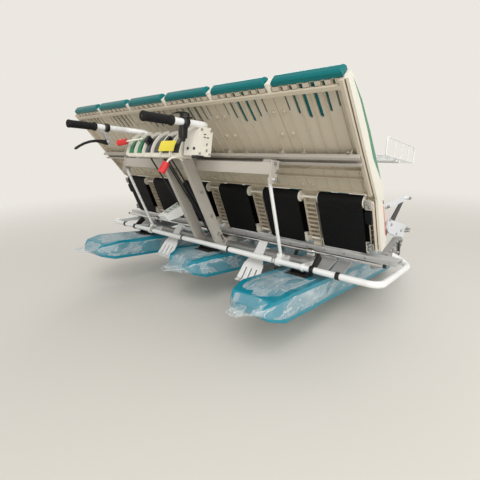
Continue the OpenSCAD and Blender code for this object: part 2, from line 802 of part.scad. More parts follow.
// Wire tray for spare seedling mats
module spare_rack() {
    x0 = rack_x0;
    x1 = rack_x0 + rack_len;
    y0 = rack_y0;
    y1 = rack_y0 + rack_w;
    for (y = [y0, y1]) {
        rod([x0, y, rack_z], [x1, y, rack_z], rack_wire_d);
        bent_rod([[x0, y, rack_z], [x0, y, rack_z + rack_h], [x1, y, rack_z + rack_h], [x1, y, rack_z]], rack_wire_d, 24);
        for (i = [1:3]) rod([x0 + i * rack_len / 4, y, rack_z], [x0 + i * rack_len / 4, y, rack_z + rack_h], 6);
    }
    for (i = [0:5]) rod([x0 + i * rack_len / 5, y0, rack_z], [x0 + i * rack_len / 5, y1, rack_z], 6);
    for (i = [1:5]) rod([x0, y0 + i * rack_w / 6, rack_z], [x1, y0 + i * rack_w / 6, rack_z], 5);
}

// Tubes from the gearbox that carry a rack
module rack_supports() {
    for (x = [410, 470]) bent_rod([
        [x, gearbox_w / 2, 410], [x, gearbox_w / 2 + 90, 410], [x, rack_y0 + 30, rack_z - rack_wire_d / 2 - 10],
        [x, rack_y0 + rack_w, rack_z - rack_wire_d / 2 - 10]
    ], 22, 60);
}

module spare_racks() {
    color("whitesmoke") parked() both_sides() {
        spare_rack();
        rack_supports();
    }
}

// Frames of the lower and upper parts of the deck: X out of its front face, Z up its slope
module on_lower() {
    translate([knee_x, 0, knee_z]) rotate([0, -lower_lean, 0]) children();
}

module on_upper() {
    translate([knee_x, 0, knee_z]) rotate([0, -upper_lean, 0]) children();
}

// Outline of the loop round both belt rollers, grown by extra
module belt_outline(extra) {
    r = roller_d / 2 + extra;
    for (z = [roller_s, roller_s - roller_gap]) translate([-roller_depth, z]) circle(r = r);
    translate([-roller_depth - r, roller_s - roller_gap]) square([2 * r, roller_gap]);
}

// Moulded deck of six lanes with ribs behind, walls between the lanes and sight slots near its top
module table_deck() {
    color([0.79, 0.75, 0.66]) parked() {
        difference() {
            union() {
                on_upper() block([-skin_t, -deck_half, -2], [0, deck_half, upper_len]);
                on_lower() block([-skin_t, -deck_half, -lower_len], [0, deck_half, 0]);
                on_upper() for (y = row_ys) for (i = [-2:2])
                    block([-skin_t - fine_rib_h, y + i * 50 - rib_t / 2, 34], [-skin_t + 1, y + i * 50 + rib_t / 2, upper_len - band_top]);
                on_upper() for (y = row_ys) for (i = [-2, 2]) block([-skin_t - rib_h, y + i * 50 - rib_t, channel_s - pad_half],
                    [-skin_t + 1, y + i * 50 + rib_t, channel_s + pad_half]);
                on_upper() for (z = [34, 114, 160]) block([-skin_t - rib_h * 0.6, -deck_half, z], [-skin_t + 1, deck_half, z + rib_t + 1]);
                on_upper() block([-skin_t - rib_h, -deck_half, upper_len - band_top - band_t], [-skin_t + 1, deck_half, upper_len - band_top]);
                on_upper() both_sides()
                    block([-skin_t - rib_h, deck_half - rim_w, 34], [-skin_t + 1, deck_half, upper_len - 2]);
                on_upper() for (y = row_ys) for (side = [-1, 1]) for (tab = tab_spans)
                    block([-skin_t - 8, min(y + side * tab[0], y + side * tab[1]), upper_len - band_top + 2],
                        [-skin_t + 1, max(y + side * tab[0], y + side * tab[1]), upper_len - 3]);
                for (k = [-2:2]) upright(k * row_pitch, 16) lane_wall_outline();
                on_lower() for (k = [-3:3]) lower_ribs(k);
            }
            on_lower() for (y = row_ys) upright(y, belt_w + 12) belt_outline(belt_t + 5);
            on_lower() for (z = [roller_s, roller_s - roller_gap]) upright(0, 4 * row_half) translate([-roller_depth, z]) circle(d = 13);
            on_upper() for (y = row_ys) for (slot = sight_slots) for (side = [-1, 1])
                translate([1, y + side * slot[0], upper_len - slot[2]]) rotate([0, -90, 0]) linear_extrude(skin_t + fine_rib_h + 2) {
                    translate([0, -slot[1] / 2]) square([slot[2] - slot_top, slot[1]]);
                    circle(d = slot[1]);
                }
            on_upper() for (k = [-2:2])
                block([-skin_t - 1, k * row_pitch - 1, 42], [-skin_t + 2.5, k * row_pitch + 1, upper_len - band_top - band_t - 2]);
        }
        for (y = case_ys) translate([gate_x0 + 22, y, 0]) block([0, -20, gate_z1 + eps], [24, 20, gate_z1 + 54]);
    }
}

// Columns of upright ribs and level fins between the belts
module lower_ribs(k) {
    inner = row_pitch / 2 - belt_w / 2 - 22;
    ys = k == -3 ? [rib_t / 2, inner - 10] : (k == 3 ? [-inner + 10, -rib_t / 2] : [-inner, inner]);
    origin = k == -3 ? -deck_half : (k == 3 ? deck_half : k * row_pitch);
    for (y = ys) block([-rib_h - 16, origin + y - rib_t / 2, -lower_len + 6], [-skin_t + 1, origin + y + rib_t / 2, -14]);
    for (z = [-lower_len + 24:24:-30]) block([-rib_h - 10, origin + ys[0], z], [-skin_t + 1, origin + ys[1], z + rib_t]);
}

module lane_wall_outline() {
    polygon([
        lower_at(-1, -lower_len + 2), lower_at(wall_h - 3, -lower_len + 3), lower_at(wall_h - 3, -8), upper_at(wall_h, 8),
        upper_at(wall_h - 15, upper_len - 12), upper_at(-1, upper_len - 6), knee
    ]);
}

// Side panels, deepest at their middle
module table_sides() {
    rear = skin_t + 6;
    bend = rear * tan((upper_lean - lower_lean) / 2);
    color([0.93, 0.91, 0.85]) parked() both_sides() upright(deck_half + panel_t / 2, panel_t) polygon([
        upper_at(-rear, upper_len - 4), upper_at(-rear, bend), lower_at(-rear, -lower_len + 4),
        lower_at(-rear + 10, -lower_len - 4), lower_at(panel_h - 12, -lower_len - 4), lower_at(panel_h - 2, -lower_len + 22),
        lower_at(panel_h, -90), lower_at(panel_h - 1, 8), upper_at(panel_h + 1, 30), upper_at(panel_h, 300),
        upper_at(panel_h - 10, 430), upper_at(panel_h - 30, upper_len - 8), upper_at(panel_h - 40, upper_len + 3),
        upper_at(0, upper_len + 3)
    ]);
}

// Teal plates hooked along the table's top edge
module extension_plates() {
    half = plate_len / 2;
    color("teal") parked() on_upper() for (y = row_ys) difference() {
        intersection() {
            upright(y, plate_len) polygon([
                [-12, upper_len + eps], [-12, upper_len + 15], [-9, upper_len + 20], [-3, upper_len + 24], [14, upper_len + 27],
                [22, upper_len + 25], [28, upper_len + 19], [30, upper_len + eps]
            ]);
            translate([-60, y, upper_len]) rotate([90, 0, 90]) linear_extrude(120) polygon([
                [-half, -9], [-half, 14], [-half + 4, 20], [-half + 12, 30], [half - 12, 30], [half - 4, 20], [half, 14], [half, -9]
            ]);
        }
        block([-9, y - half + 4, upper_len - 1], [27, y + half - 4, upper_len + 14]);
    }
}

module feed_belts() {
    color([0.1, 0.1, 0.1]) parked() on_lower() {
        for (y = row_ys) upright(y, belt_w) difference() {
            belt_outline(belt_t);
            belt_outline(0);
        }
        both_sides() translate([-rib_h - 16 - eps - 12, deck_half - 17, -72]) rotate([90, 0, 90]) linear_extrude(12)
            strap([0, -18], [0, 18], 28);
    }
}

// Shafts across the table with their pulleys and hangers
module belt_rollers() {
    color([0.88, 0.86, 0.8]) parked() on_lower() for (z = [roller_s, roller_s - roller_gap]) {
        rod([-roller_depth, -deck_half, z], [-roller_depth, deck_half, z], 12);
        for (y = row_ys) {
            rod([-roller_depth, y - belt_w / 2, z], [-roller_depth, y + belt_w / 2, z], 36);
            for (side = [-1, 1]) {
                rod([-roller_depth, y + side * (belt_w / 2 - 14), z], [-roller_depth, y + side * belt_w / 2, z], roller_d);
                rod([-roller_depth, y + side * belt_w / 2, z], [-roller_depth, y + side * (belt_w / 2 + 4), z], roller_d + 6);
                translate([0, y + side * (belt_w / 2 + 12), 0]) block([-roller_depth - 9, -3, z - 12], [-skin_t, 3, z + 8]);
            }
        }
    }
}

// Channel behind the deck that rides on the beam's shoes
module channel_rail() {
    color([0.72, 0.7, 0.66]) parked() {
        on_upper() difference() {
            block([-channel_x - channel_deep, -deck_half, channel_s - 21], [-channel_x, deck_half, channel_s + 21]);
            block([-channel_x - channel_deep + 3, -deck_half - 1, channel_s - 18], [-channel_x - 3, deck_half + 1, channel_s + 18]);
            block([-channel_x - channel_deep - 1, -deck_half - 1, channel_s - 9], [-channel_x - 3, deck_half + 1, channel_s + 9]);
        }
        on_lower() both_sides() block([-rib_h - 24, deck_half - 28, -36], [-rib_h - 16 - eps, deck_half - 2, 8]);
    }
}

// Bonnet over the engine, open below
module engine_cover() {
    color("teal") parked() difference() {
        upright(0, cover_w) cover_outline(0);
        upright(0, cover_w - 8) cover_outline(4);
        translate([cover_pivot.x, 0, cover_pivot.y]) rotate([90, 0, 0]) cylinder(h = cover_w + 10, d = 10 + run_gap, center = true);
        block([cover_x0 - 1, -cover_w / 2 + 4, cover_z0 - 1], [cover_x0 + 8, cover_w / 2 - 4, cover_pivot.y + 12]);
        for (i = [0:louvre_count - 1]) upright(0, cover_w + 10) translate([cover_x0 + 110 + i * 32, 500]) rotate(-14) square([9, 110]);
    }
}

module cover_outline(wall) {
    polygon([
        [cover_x0 + wall, cover_z0 - wall * 10], [cover_x0 + wall, 680 - wall], [cover_x0 + 40, 716 - wall], [900, 716 - wall],
        [cover_x1 - 60, 690 - wall], [cover_x1 - wall, 600], [cover_x1 - wall, cover_z0 - wall * 10]
    ]);
}

// Rim, spokes and hub
module wheel_frame() {
    rotate([90, 0, 0]) {
        rotate_extrude() translate([rim_r, 0]) circle(d = rim_tube_d);
        difference() {
            cylinder(h = hub_w, d = 64, center = true);
            cylinder(h = hub_w + 2, d = axle_d + run_gap, center = true);
        }
        for (i = [0:spoke_count - 1]) rotate(110 + i * 360 / spoke_count) translate([rim_r / 2 + 10, 0, 0]) cube([rim_r - 30, 30, 8], center = true);
    }
}

// Rubber paddles clipped round the rim, drawn with two of them on the floor
module wheel_lugs() {
    rotate([90, 0, 0]) difference() {
        for (i = [0:lug_count - 1]) rotate(-90 + (i + 0.5) * 360 / lug_count) linear_extrude(lug_w, center = true) polygon([
            [rim_r - 20, -22], [rim_r - 20, 22], [rim_r + 16, 20], [wheel_r, lug_tip_t / 2], [wheel_r, -lug_tip_t / 2], [rim_r + 16, -20]
        ]);
        rotate_extrude() translate([rim_r, 0]) circle(d = rim_tube_d + 2 * eps);
    }
}

module at_wheel(side) {
    translate([-middle_x, side * wheel_y, rest_axle_z]) children();
}

module left_wheel() {
    color("whitesmoke") at_wheel(1) wheel_frame();
}

module left_lugs() {
    color([0.12, 0.12, 0.12]) at_wheel(1) wheel_lugs();
}

module right_wheel() {
    color("whitesmoke") at_wheel(-1) wheel_frame();
}

module right_lugs() {
    color([0.12, 0.12, 0.12]) at_wheel(-1) wheel_lugs();
}

engine();
transmission_case();
main_frame();
front_guard();
swing_cases();
lift_cylinder();
cross_pipe();
planting_case_centre();
side_planting_cases();
planting_arms();
rocker_links();
planting_claws();
end_brackets();
outer_links();
gate_rail();
chrome_rod();
handle_posts();
cross_beam();
stay_rods();
handlebars();
grips();
clutch_lever();
throttle();
control_console();
lever_guide();
lever_knobs();
slotted_quadrant();
control_rods();
rear_guard();
rakes();
float_centre();
side_floats();
float_brackets();
spare_racks();
table_deck();
table_sides();
extension_plates();
feed_belts();
belt_rollers();
channel_rail();
engine_cover();
left_wheel();
left_lugs();
right_wheel();
right_lugs();
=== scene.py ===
import json
import math

import bmesh
import bpy
from mathutils import Matrix, Vector, noise


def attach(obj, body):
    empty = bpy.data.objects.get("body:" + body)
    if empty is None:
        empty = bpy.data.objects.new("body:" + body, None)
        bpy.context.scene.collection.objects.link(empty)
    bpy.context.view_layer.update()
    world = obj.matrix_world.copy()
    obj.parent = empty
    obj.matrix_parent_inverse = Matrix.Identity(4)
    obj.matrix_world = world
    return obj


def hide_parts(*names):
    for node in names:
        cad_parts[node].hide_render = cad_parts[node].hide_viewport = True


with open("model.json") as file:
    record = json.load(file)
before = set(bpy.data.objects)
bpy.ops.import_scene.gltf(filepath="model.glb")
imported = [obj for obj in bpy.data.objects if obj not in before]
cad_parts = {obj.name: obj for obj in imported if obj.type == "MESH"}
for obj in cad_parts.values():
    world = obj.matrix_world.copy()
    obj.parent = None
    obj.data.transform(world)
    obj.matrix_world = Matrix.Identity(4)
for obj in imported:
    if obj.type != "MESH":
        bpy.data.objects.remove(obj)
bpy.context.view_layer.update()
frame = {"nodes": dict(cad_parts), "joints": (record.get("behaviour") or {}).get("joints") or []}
scene = bpy.context.scene

# Places are millimetres in the level machine, X forward, Y left and Z up, and repeat the part's own sizes.
MM = 0.001
AXLE_X, AXLE_Z = 75.0, 330.0
NOSE_X, BELLY_Z = 740.0, 98.0
KNEE = (-425.0, 0.0, 610.0)
LOWER_LEAN, UPPER_LEAN = 27.7, 45.5
ROW_PITCH = 300.0
ROWS = [(k - 2.5) * ROW_PITCH for k in range(6)]
SIDES = {"left": 1, "right": -1}
GRIP_END = Vector((-1138.0, 292.0, 852.0))
GUARD_X, GUARD_Z = -507.0, 275.0
REARWARD, OUTWARD, RIGHTWARD, UPWARD = (-1, 0, 0), (0, 1, 0), (0, -1, 0), (0, 0, 1)

# Faces that fixings sit on, in Y
BRACKET_Y, LINK_Y, POST_Y, GEARBOX_Y = 886.0, 870.0, 92.0, 115.0
BEAM_END_Y, BEAM_PIN_Y, CONSOLE_Y = 548.0, 562.0, -312.0

# The machine stands tipped, on its wheels and on the point where the centre float's belly turns up.
hub = next(j for j in frame["joints"] if j["name"] == "wheel_left_spin")["pos_m"]
reach, drop = NOSE_X - AXLE_X, AXLE_Z - BELLY_Z
PITCH = math.asin(hub[2] / MM / math.hypot(reach, drop)) - math.atan2(drop, reach)


def shift(x, y, z):
    return Matrix.Translation((x, y, z))


def lean(degrees):
    return Matrix.Rotation(math.radians(degrees), 4, "Y")


def wheel_frame(side):
    """Millimetres round the middle of a wheel's hub."""
    return shift(hub[0], side * hub[1], hub[2]) @ Matrix.Scale(MM, 4)


# LOWER and UPPER lie in the two parts of the table: X out of its front face, Z up its slope.
TIPPED = shift(hub[0], 0, hub[2]) @ Matrix.Rotation(PITCH, 4, "Y")
LEVEL = TIPPED @ Matrix.Scale(MM, 4) @ shift(-AXLE_X, 0, -AXLE_Z)
LOWER = LEVEL @ shift(*KNEE) @ lean(-LOWER_LEAN)
UPPER = LEVEL @ shift(*KNEE) @ lean(-UPPER_LEAN)
GATE_BOX = LEVEL @ shift(-716, 0, 424) @ lean(-27.7)
MIRROR = Matrix.Scale(-1, 4, (0, 1, 0))

# Camera: metres and degrees in the level machine, pixels of the photograph's frame
CAM_AT = (-1.853, -1.36, 0.665)
CAM_HEADING, CAM_DOWN, CAM_ROLL = 39.62, 6.2, 3.67
FOCAL_PX, CENTRE_ROW, FRAME_PX = 343.9, 213.0, 480.0


def make_camera():
    """Camera at the photograph's place round the machine."""
    heading, down, roll = (math.radians(a) for a in (CAM_HEADING, CAM_DOWN, CAM_ROLL))
    ahead = Vector((math.cos(heading), math.sin(heading), 0))
    level_right = Vector((math.sin(heading), -math.cos(heading), 0))
    look = ahead * math.cos(down) - Vector((0, 0, 1)) * math.sin(down)
    level_up = level_right.cross(look)
    right = level_right * math.cos(roll) + level_up * math.sin(roll)
    up = level_up * math.cos(roll) - level_right * math.sin(roll)
    place = Matrix((right, up, -look)).transposed().to_4x4()
    place.translation = CAM_AT
    data = bpy.data.cameras.new("camera")
    data.sensor_width = 36.0
    data.lens = FOCAL_PX / FRAME_PX * data.sensor_width
    data.shift_y = (CENTRE_ROW - FRAME_PX / 2) / FRAME_PX
    data.clip_end = 60.0
    cam = bpy.data.objects.new("camera", data)
    scene.collection.objects.link(cam)
    cam.matrix_world = TIPPED @ shift(-AXLE_X * MM, 0, -AXLE_Z * MM) @ place
    scene.camera = cam


make_camera()


# Materials

DUST_RGB, FILM_RGB = (176, 166, 148), (222, 230, 232)


def linear(r, g, b):
    """Display colour, 0 to 255, as Blender's linear one."""
    return tuple((c / 12.92 if c <= 0.04045 else ((c + 0.055) / 1.055) ** 2.4)
                 for c in (r / 255, g / 255, b / 255))


def tint(color, k):
    return tuple(min(1.0, c * k) for c in color) + (1.0,)


def new_material(name):
    mat = bpy.data.materials.new(name)
    mat.use_nodes = True
    return mat, mat.node_tree, mat.node_tree.nodes["Principled BSDF"].inputs


def put(tree, socket, value):
    """Feeds a socket from another one, or sets it to a value."""
    if isinstance(value, bpy.types.NodeSocket):
        tree.links.new(value, socket)
    else:
        socket.default_value = value


def add(tree, kind, operation=None, **inputs):
    """New shader node; its inputs are named with _ for a space."""
    made = tree.nodes.new("ShaderNode" + kind)
    if operation:
        made.operation = operation
    for name, value in inputs.items():
        put(tree, made.inputs[name.replace("_", " ")], value)
    return made


def joined(tree, kind, values, operation=None):
    """Output of a new node whose first inputs take the values in order."""
    made = add(tree, kind, operation)
    for socket, value in zip(made.inputs, values):
        put(tree, socket, value)
    return made.outputs[0]


def ranged(tree, value, low, high, to_low, to_high):
    """The value taken from the range low to high over to the range to_low to to_high."""
    made = add(tree, "MapRange", Value=value, From_Min=low, From_Max=high, To_Min=to_low, To_Max=to_high)
    return made.outputs[0]


def finish(name, rgb, rough=0.5, metal=0.0, coat=0.0, vary=0.12, patch=5.0, grain=260.0, bump=0.08,
           rough_vary=0.1, wear=0.0, wear_rgb=(200, 200, 198), round_mm=0.8, dirt=0.0, gloss=0.5):
    """Painted, moulded or cast surface: patchy tone, fine grain, worn edges and dusty upward faces."""
    mat, tree, shader = new_material(name)
    color = linear(*rgb)
    place = add(tree, "TexCoord").outputs["Object"]
    patches = add(tree, "TexNoise", Vector=place, Scale=patch, Detail=4.0).outputs["Fac"]
    fine = add(tree, "TexNoise", Vector=place, Scale=grain, Detail=3.0).outputs["Fac"]
    tone = joined(tree, "MixRGB", (patches, tint(color, 1.0 - vary), tint(color, 1.0 + vary)))
    if dirt:
        normal = add(tree, "NewGeometry").outputs["Normal"]
        facing_up = add(tree, "SeparateXYZ", Vector=normal).outputs["Z"]
        speck = joined(tree, "Math", (facing_up, patches), "MULTIPLY")
        dusty = ranged(tree, speck, 0.1, 0.9, 0.0, dirt)
        tone = joined(tree, "MixRGB", (dusty, tone, tint(linear(*DUST_RGB), 1.0)))
    if wear:
        edges = add(tree, "NewGeometry").outputs["Pointiness"]
        worn = ranged(tree, edges, 0.53, 0.62, 0.0, wear)
        tone = joined(tree, "MixRGB", (worn, tone, tint(linear(*wear_rgb), 1.0)))
    put(tree, shader["Base Color"], tone)
    smoothest, roughest = max(0.03, rough - rough_vary), min(1.0, rough + rough_vary)
    put(tree, shader["Roughness"], ranged(tree, patches, 0.0, 1.0, smoothest, roughest))
    shader["Metallic"].default_value = metal
    shader["Specular IOR Level"].default_value = gloss
    shader["Coat Weight"].default_value = coat
    shader["Coat Roughness"].default_value = 0.08
    soft = add(tree, "Bevel", Radius=round_mm * MM)
    soft.samples = 4
    relief = add(tree, "Bump", Strength=bump, Distance=0.6 * MM, Height=fine, Normal=soft.outputs["Normal"])
    put(tree, shader["Normal"], relief.outputs["Normal"])
    return mat


def film(name):
    """Clear wrinkled packing film: thin haze, with painted highlights as bright streaks along creases drawn
    out along the float.
    """
    mat, tree, shader = new_material(name)
    place = add(tree, "TexCoord").outputs["Object"]
    drawn = add(tree, "Mapping", Vector=place, Scale=(5.0, 12.0, 12.0), Rotation=(0.2, 0.1, 0.25)).outputs[0]
    crease = add(tree, "TexNoise", Vector=drawn, Scale=1.0, Detail=4.0, Distortion=1.2).outputs["Fac"]
    off_middle = joined(tree, "Math", (crease, 0.5), "SUBTRACT")
    fold = joined(tree, "Math", (off_middle,), "ABSOLUTE")
    # Painted highlight: near-opaque whitish streaks where the crease noise crosses its middle.
    line = ranged(tree, fold, 0.0, 0.03, 0.66, 0.0)
    haze = ranged(tree, crease, 0.4, 0.7, 0.14, 0.6)
    put(tree, shader["Alpha"], joined(tree, "Math", (line, haze), "MAXIMUM"))
    shader["Base Color"].default_value = tint(linear(*FILM_RGB), 1.0)
    shader["Roughness"].default_value = 0.14
    relief = add(tree, "Bump", Strength=0.8, Distance=4.0 * MM, Height=crease)
    put(tree, shader["Normal"], relief.outputs["Normal"])
    return mat


MATS = {
    "beige": finish("beige_plastic", (196, 185, 164), 0.5, vary=0.1, patch=3.0, wear=0.2, dirt=0.15,
                    round_mm=1.2),
    "cream": finish("cream_plastic", (226, 221, 206), 0.38, coat=0.15, vary=0.06, wear=0.15, dirt=0.1),
    "teal": finish("teal_plastic", (0, 106, 108), 0.26, coat=0.06, vary=0.1, bump=0.03, round_mm=2.5,
                   gloss=0.22),
    "float": finish("float_plastic", (0, 128, 148), 0.32, coat=0.2, vary=0.1, round_mm=5.0),
    "white": finish("white_paint", (233, 233, 230), 0.3, coat=0.3, vary=0.04, wear=0.1,
                    wear_rgb=(150, 148, 144)),
    "grey": finish("grey_paint", (190, 183, 172), 0.4, coat=0.1, vary=0.07, wear=0.25,
                   wear_rgb=(150, 146, 140), dirt=0.2),
    "cast": finish("cast_alloy", (158, 158, 156), 0.42, metal=0.75, vary=0.14, grain=420.0, bump=0.3,
                   dirt=0.15),
    "plate": finish("pressed_steel", (196, 196, 194), 0.34, metal=0.55, vary=0.08, bump=0.06),
    "zinc": finish("zinc_fastener", (172, 172, 168), 0.34, metal=0.85, vary=0.15, bump=0.1, round_mm=0.5),
    "chrome": finish("chromed_rod", (208, 208, 208), 0.12, metal=1.0, vary=0.05, bump=0.02, rough_vary=0.06),
    "dark": finish("dark_steel", (28, 29, 31), 0.45, metal=0.1, vary=0.15, dirt=0.05),
    "iron": finish("engine_iron", (70, 71, 73), 0.55, metal=0.4, vary=0.2, bump=0.25),
    "rubber": finish("black_rubber", (16, 16, 17), 0.7, vary=0.18, bump=0.25, gloss=0.3),
    "belt": finish("belt_rubber", (9, 9, 10), 0.6, vary=0.25, grain=700.0, bump=0.5, gloss=0.2),
    "black": finish("black_plastic", (15, 15, 16), 0.4, vary=0.12, bump=0.12),
    "lug": finish("lug_rubber", (30, 30, 31), 0.78, vary=0.2, bump=0.3, dirt=0.25),
    "red": finish("red_plastic", (206, 32, 34), 0.28, coat=0.4, vary=0.06),
    "green": finish("green_mark", (0, 118, 78), 0.3, coat=0.4, vary=0.08),
    "orange": finish("orange_mark", (222, 78, 48), 0.35, coat=0.3, vary=0.08),
    "yellow": finish("yellow_tag", (232, 214, 66), 0.45, vary=0.06),
    "paper": finish("blank_tag", (236, 236, 232), 0.5, vary=0.04),
    # Brown for the strip that stands for the shadow in the gap between deck rim and side panel: painted
    # shadow.
    "shade_line": finish("painted_gap_shadow", (104, 84, 62), 0.7, vary=0.2),
    # Near-black: painted shade in slots, slits and notches, and one dark mark at an orange stripe's top.
    "shade_and_mark": finish("painted_shade_and_dark_mark", (34, 33, 31), 0.8, vary=0.2),
    "cover": finish("white_cover_plate", (222, 225, 228), 0.32, metal=0.15, vary=0.05, bump=0.05),
    "smoke": finish("dark_clear_cover", (58, 62, 70), 0.15, coat=0.5, vary=0.25, patch=18.0),
    "film": film("packing_film"),
}

LOOKS = {
    "beige": ["table_deck"],
    "belt": ["feed_belts"],
    "cast": ["transmission_case", "cross_pipe", "planting_case_centre", "side_planting_cases",
             "planting_arms", "end_brackets"],
    "chrome": ["chrome_rod"],
    "cover": ["outer_links"],
    "cream": ["control_console", "lever_guide", "table_sides", "belt_rollers"],
    "dark": ["main_frame", "swing_cases", "rocker_links", "control_rods", "float_brackets", "left_wheel",
             "right_wheel"],
    "float": ["float_centre", "side_floats"],
    "grey": ["handle_posts", "cross_beam", "channel_rail"],
    "iron": ["engine"],
    "lug": ["left_lugs", "right_lugs"],
    "plate": ["lift_cylinder", "planting_claws", "gate_rail"],
    "red": ["lever_knobs"],
    "teal": ["extension_plates", "engine_cover"],
    "white": ["front_guard", "stay_rods", "handlebars", "slotted_quadrant", "rear_guard", "rakes",
              "spare_racks"],
}
for look, names in LOOKS.items():
    for name in names:
        for place in frame["nodes"][name].material_slots:
            place.material = MATS[look]


# Mesh helpers, in the millimetres of the frame that a piece is made in

WASHER_T = 1.6
WASHER_R, HEAD_R, HEAD_H = 1.05, 0.92, 0.62    # shares of the bolt's size


def block(bm, low, high, bevel=0.0):
    """Box between two corners, with its edges rounded off."""
    low, high = Vector(low), Vector(high)
    place = Matrix.Translation((low + high) / 2) @ Matrix.Diagonal((*(high - low), 1.0))
    made = bmesh.ops.create_cube(bm, size=1.0, matrix=place)
    if bevel:
        edges = list({e for v in made["verts"] for e in v.link_edges})
        bmesh.ops.bevel(bm, geom=edges, offset=bevel, segments=2, profile=0.5, affect="EDGES")


def skin(bm, rings):
    """Faces from ring to ring of vertices, with both ends closed."""
    for a, b in zip(rings, rings[1:]):
        for i in range(len(a)):
            j = (i + 1) % len(a)
            bm.faces.new((a[i], a[j], b[j], b[i]))
    bm.faces.new(rings[0][::-1])
    bm.faces.new(rings[-1])


def turned(bm, profile, at, axis, sides=20):
    """Solid or shell of revolution: profile is (radius, height) pairs along axis from at."""
    spin = Vector(axis).normalized().to_track_quat("Z", "Y").to_matrix().to_4x4()
    spin = Matrix.Translation(at) @ spin
    rings = []
    for r, h in profile:
        if r < 1e-6:
            rings.append([bm.verts.new(spin @ Vector((0, 0, h)))])
        else:
            rings.append([bm.verts.new(spin @ Vector((r * math.cos(a), r * math.sin(a), h)))
                          for a in (2 * math.pi * i / sides for i in range(sides))])
    for a, b in zip(rings, rings[1:]):
        for i in range(sides):
            j = (i + 1) % sides
            if len(a) == 1 and len(b) == 1:
                continue
            if len(a) == 1:
                bm.faces.new((a[0], b[j], b[i]))
            elif len(b) == 1:
                bm.faces.new((a[i], a[j], b[0]))
            else:
                bm.faces.new((a[i], a[j], b[j], b[i]))


def rounded(points, bend, steps):
    """The points with each inner corner turned into a curve of about that radius."""
    points = [Vector(p) for p in points]
    out = [points[0]]
    for a, b, c in zip(points, points[1:], points[2:]):
        u, v = (a - b).normalized(), (c - b).normalized()
        cut = min(bend / math.tan(u.angle(v) / 2), (a - b).length * 0.48, (c - b).length * 0.48)
        p, q = b + u * cut, b + v * cut
        for i in range(steps + 1):
            t = i / steps
            out.append(p * (1 - t) ** 2 + b * 2 * t * (1 - t) + q * t ** 2)
    out.append(points[-1])
    return out


def run_at(points, i):
    """Direction in which a line of points runs at point i."""
    return (points[min(i + 1, len(points) - 1)] - points[max(i - 1, 0)]).normalized()


def tube(bm, points, d, sides):
    """Round bar along the points."""
    side = run_at(points, 0).orthogonal().normalized()
    rings = []
    for i, p in enumerate(points):
        run = run_at(points, i)
        side = (side - run * side.dot(run)).normalized()
        up = run.cross(side)
        rings.append([bm.verts.new(p + (side * math.cos(a) + up * math.sin(a)) * d / 2)
                      for a in (2 * math.pi * k / sides for k in range(sides))])
    skin(bm, rings)


def prism(bm, outline, y0, y1):
    """Outline in X and Z, run from y0 to y1."""
    skin(bm, [[bm.verts.new((x, y, z)) for x, z in outline] for y in (y0, y1)])


def taper(bm, rows, y0, y1):
    """Flat bar whose width changes along it: each row is (x, z, width)."""
    points = [Vector((x, 0.0, z)) for x, z, width in rows]
    left, right = [], []
    for i, p in enumerate(points):
        run = run_at(points, i)
        side = Vector((-run.z, 0.0, run.x)) * rows[i][2] / 2
        left.append(p + side)
        right.append(p - side)
    prism(bm, [(v.x, v.z) for v in left + right[::-1]], y0, y1)


def arc_band(bm, centre, r0, r1, a0, a1, y0, y1, steps=10):
    """Strip bent about an axis along Y, between two radii and two angles in degrees."""
    rings = []
    for i in range(steps + 1):
        a = math.radians(a0 + (a1 - a0) * i / steps)
        rings.append([bm.verts.new((centre[0] + r * math.cos(a), y, centre[1] + r * math.sin(a)))
                      for r, y in ((r0, y0), (r1, y0), (r1, y1), (r0, y1))])
    skin(bm, rings)


def bolt(bm, at, axis, d, proud=0.0):
    """Hex bolt head on its washer, seated at the point and facing along axis; its thread may stand proud."""
    top = WASHER_T + d * HEAD_H
    washer = [(0, 0), (d * WASHER_R, 0), (d * WASHER_R, WASHER_T - 0.3), (d * 0.98, WASHER_T), (0, WASHER_T)]
    head = [(0, WASHER_T), (d * HEAD_R, WASHER_T), (d * HEAD_R, top - 0.8), (d * 0.78, top), (0, top)]
    turned(bm, washer, at, axis, 16)
    turned(bm, head, at, axis, 6)
    if proud:
        end = top + proud
        thread = [(0, top - 0.5), (d / 2, top - 0.5), (d / 2, end - 0.6), (d / 2 - 0.6, end), (0, end)]
        turned(bm, thread, at, axis, 12)


def weld(bm):
    """Joins vertices that lie on each other, where a profile comes back to its start."""
    bmesh.ops.remove_doubles(bm, verts=bm.verts[:], dist=0.01)


class Piece:
    """Collects geometry in one frame, then becomes a named object riding a body."""

    def __init__(self, at=LEVEL):
        self.bm = bmesh.new()
        self.at = at

    def done(self, name, look, body, smooth=35, replaces=(), both=False):
        """Makes the object; both adds its mirror image on the machine's other side."""
        bm = self.bm
        if both:
            twin = bmesh.ops.duplicate(bm, geom=bm.verts[:] + bm.edges[:] + bm.faces[:])
            verts = [v for v in twin["geom"] if isinstance(v, bmesh.types.BMVert)]
            bmesh.ops.transform(bm, matrix=MIRROR, verts=verts)
            bmesh.ops.reverse_faces(bm, faces=[f for f in twin["geom"] if isinstance(f, bmesh.types.BMFace)])
        bmesh.ops.recalc_face_normals(bm, faces=bm.faces[:])
        mesh = bpy.data.meshes.new(name)
        bm.to_mesh(mesh)
        bm.free()
        mesh.transform(self.at)
        for p in mesh.polygons:
            p.use_smooth = True
        mesh.set_sharp_from_angle(angle=math.radians(smooth))
        mesh.materials.append(MATS[look])
        obj = bpy.data.objects.new(name, mesh)
        scene.collection.objects.link(obj)
        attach(obj, body)
        if replaces:
            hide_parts(*replaces)
        return obj


# Packing film round the floats, gathered behind

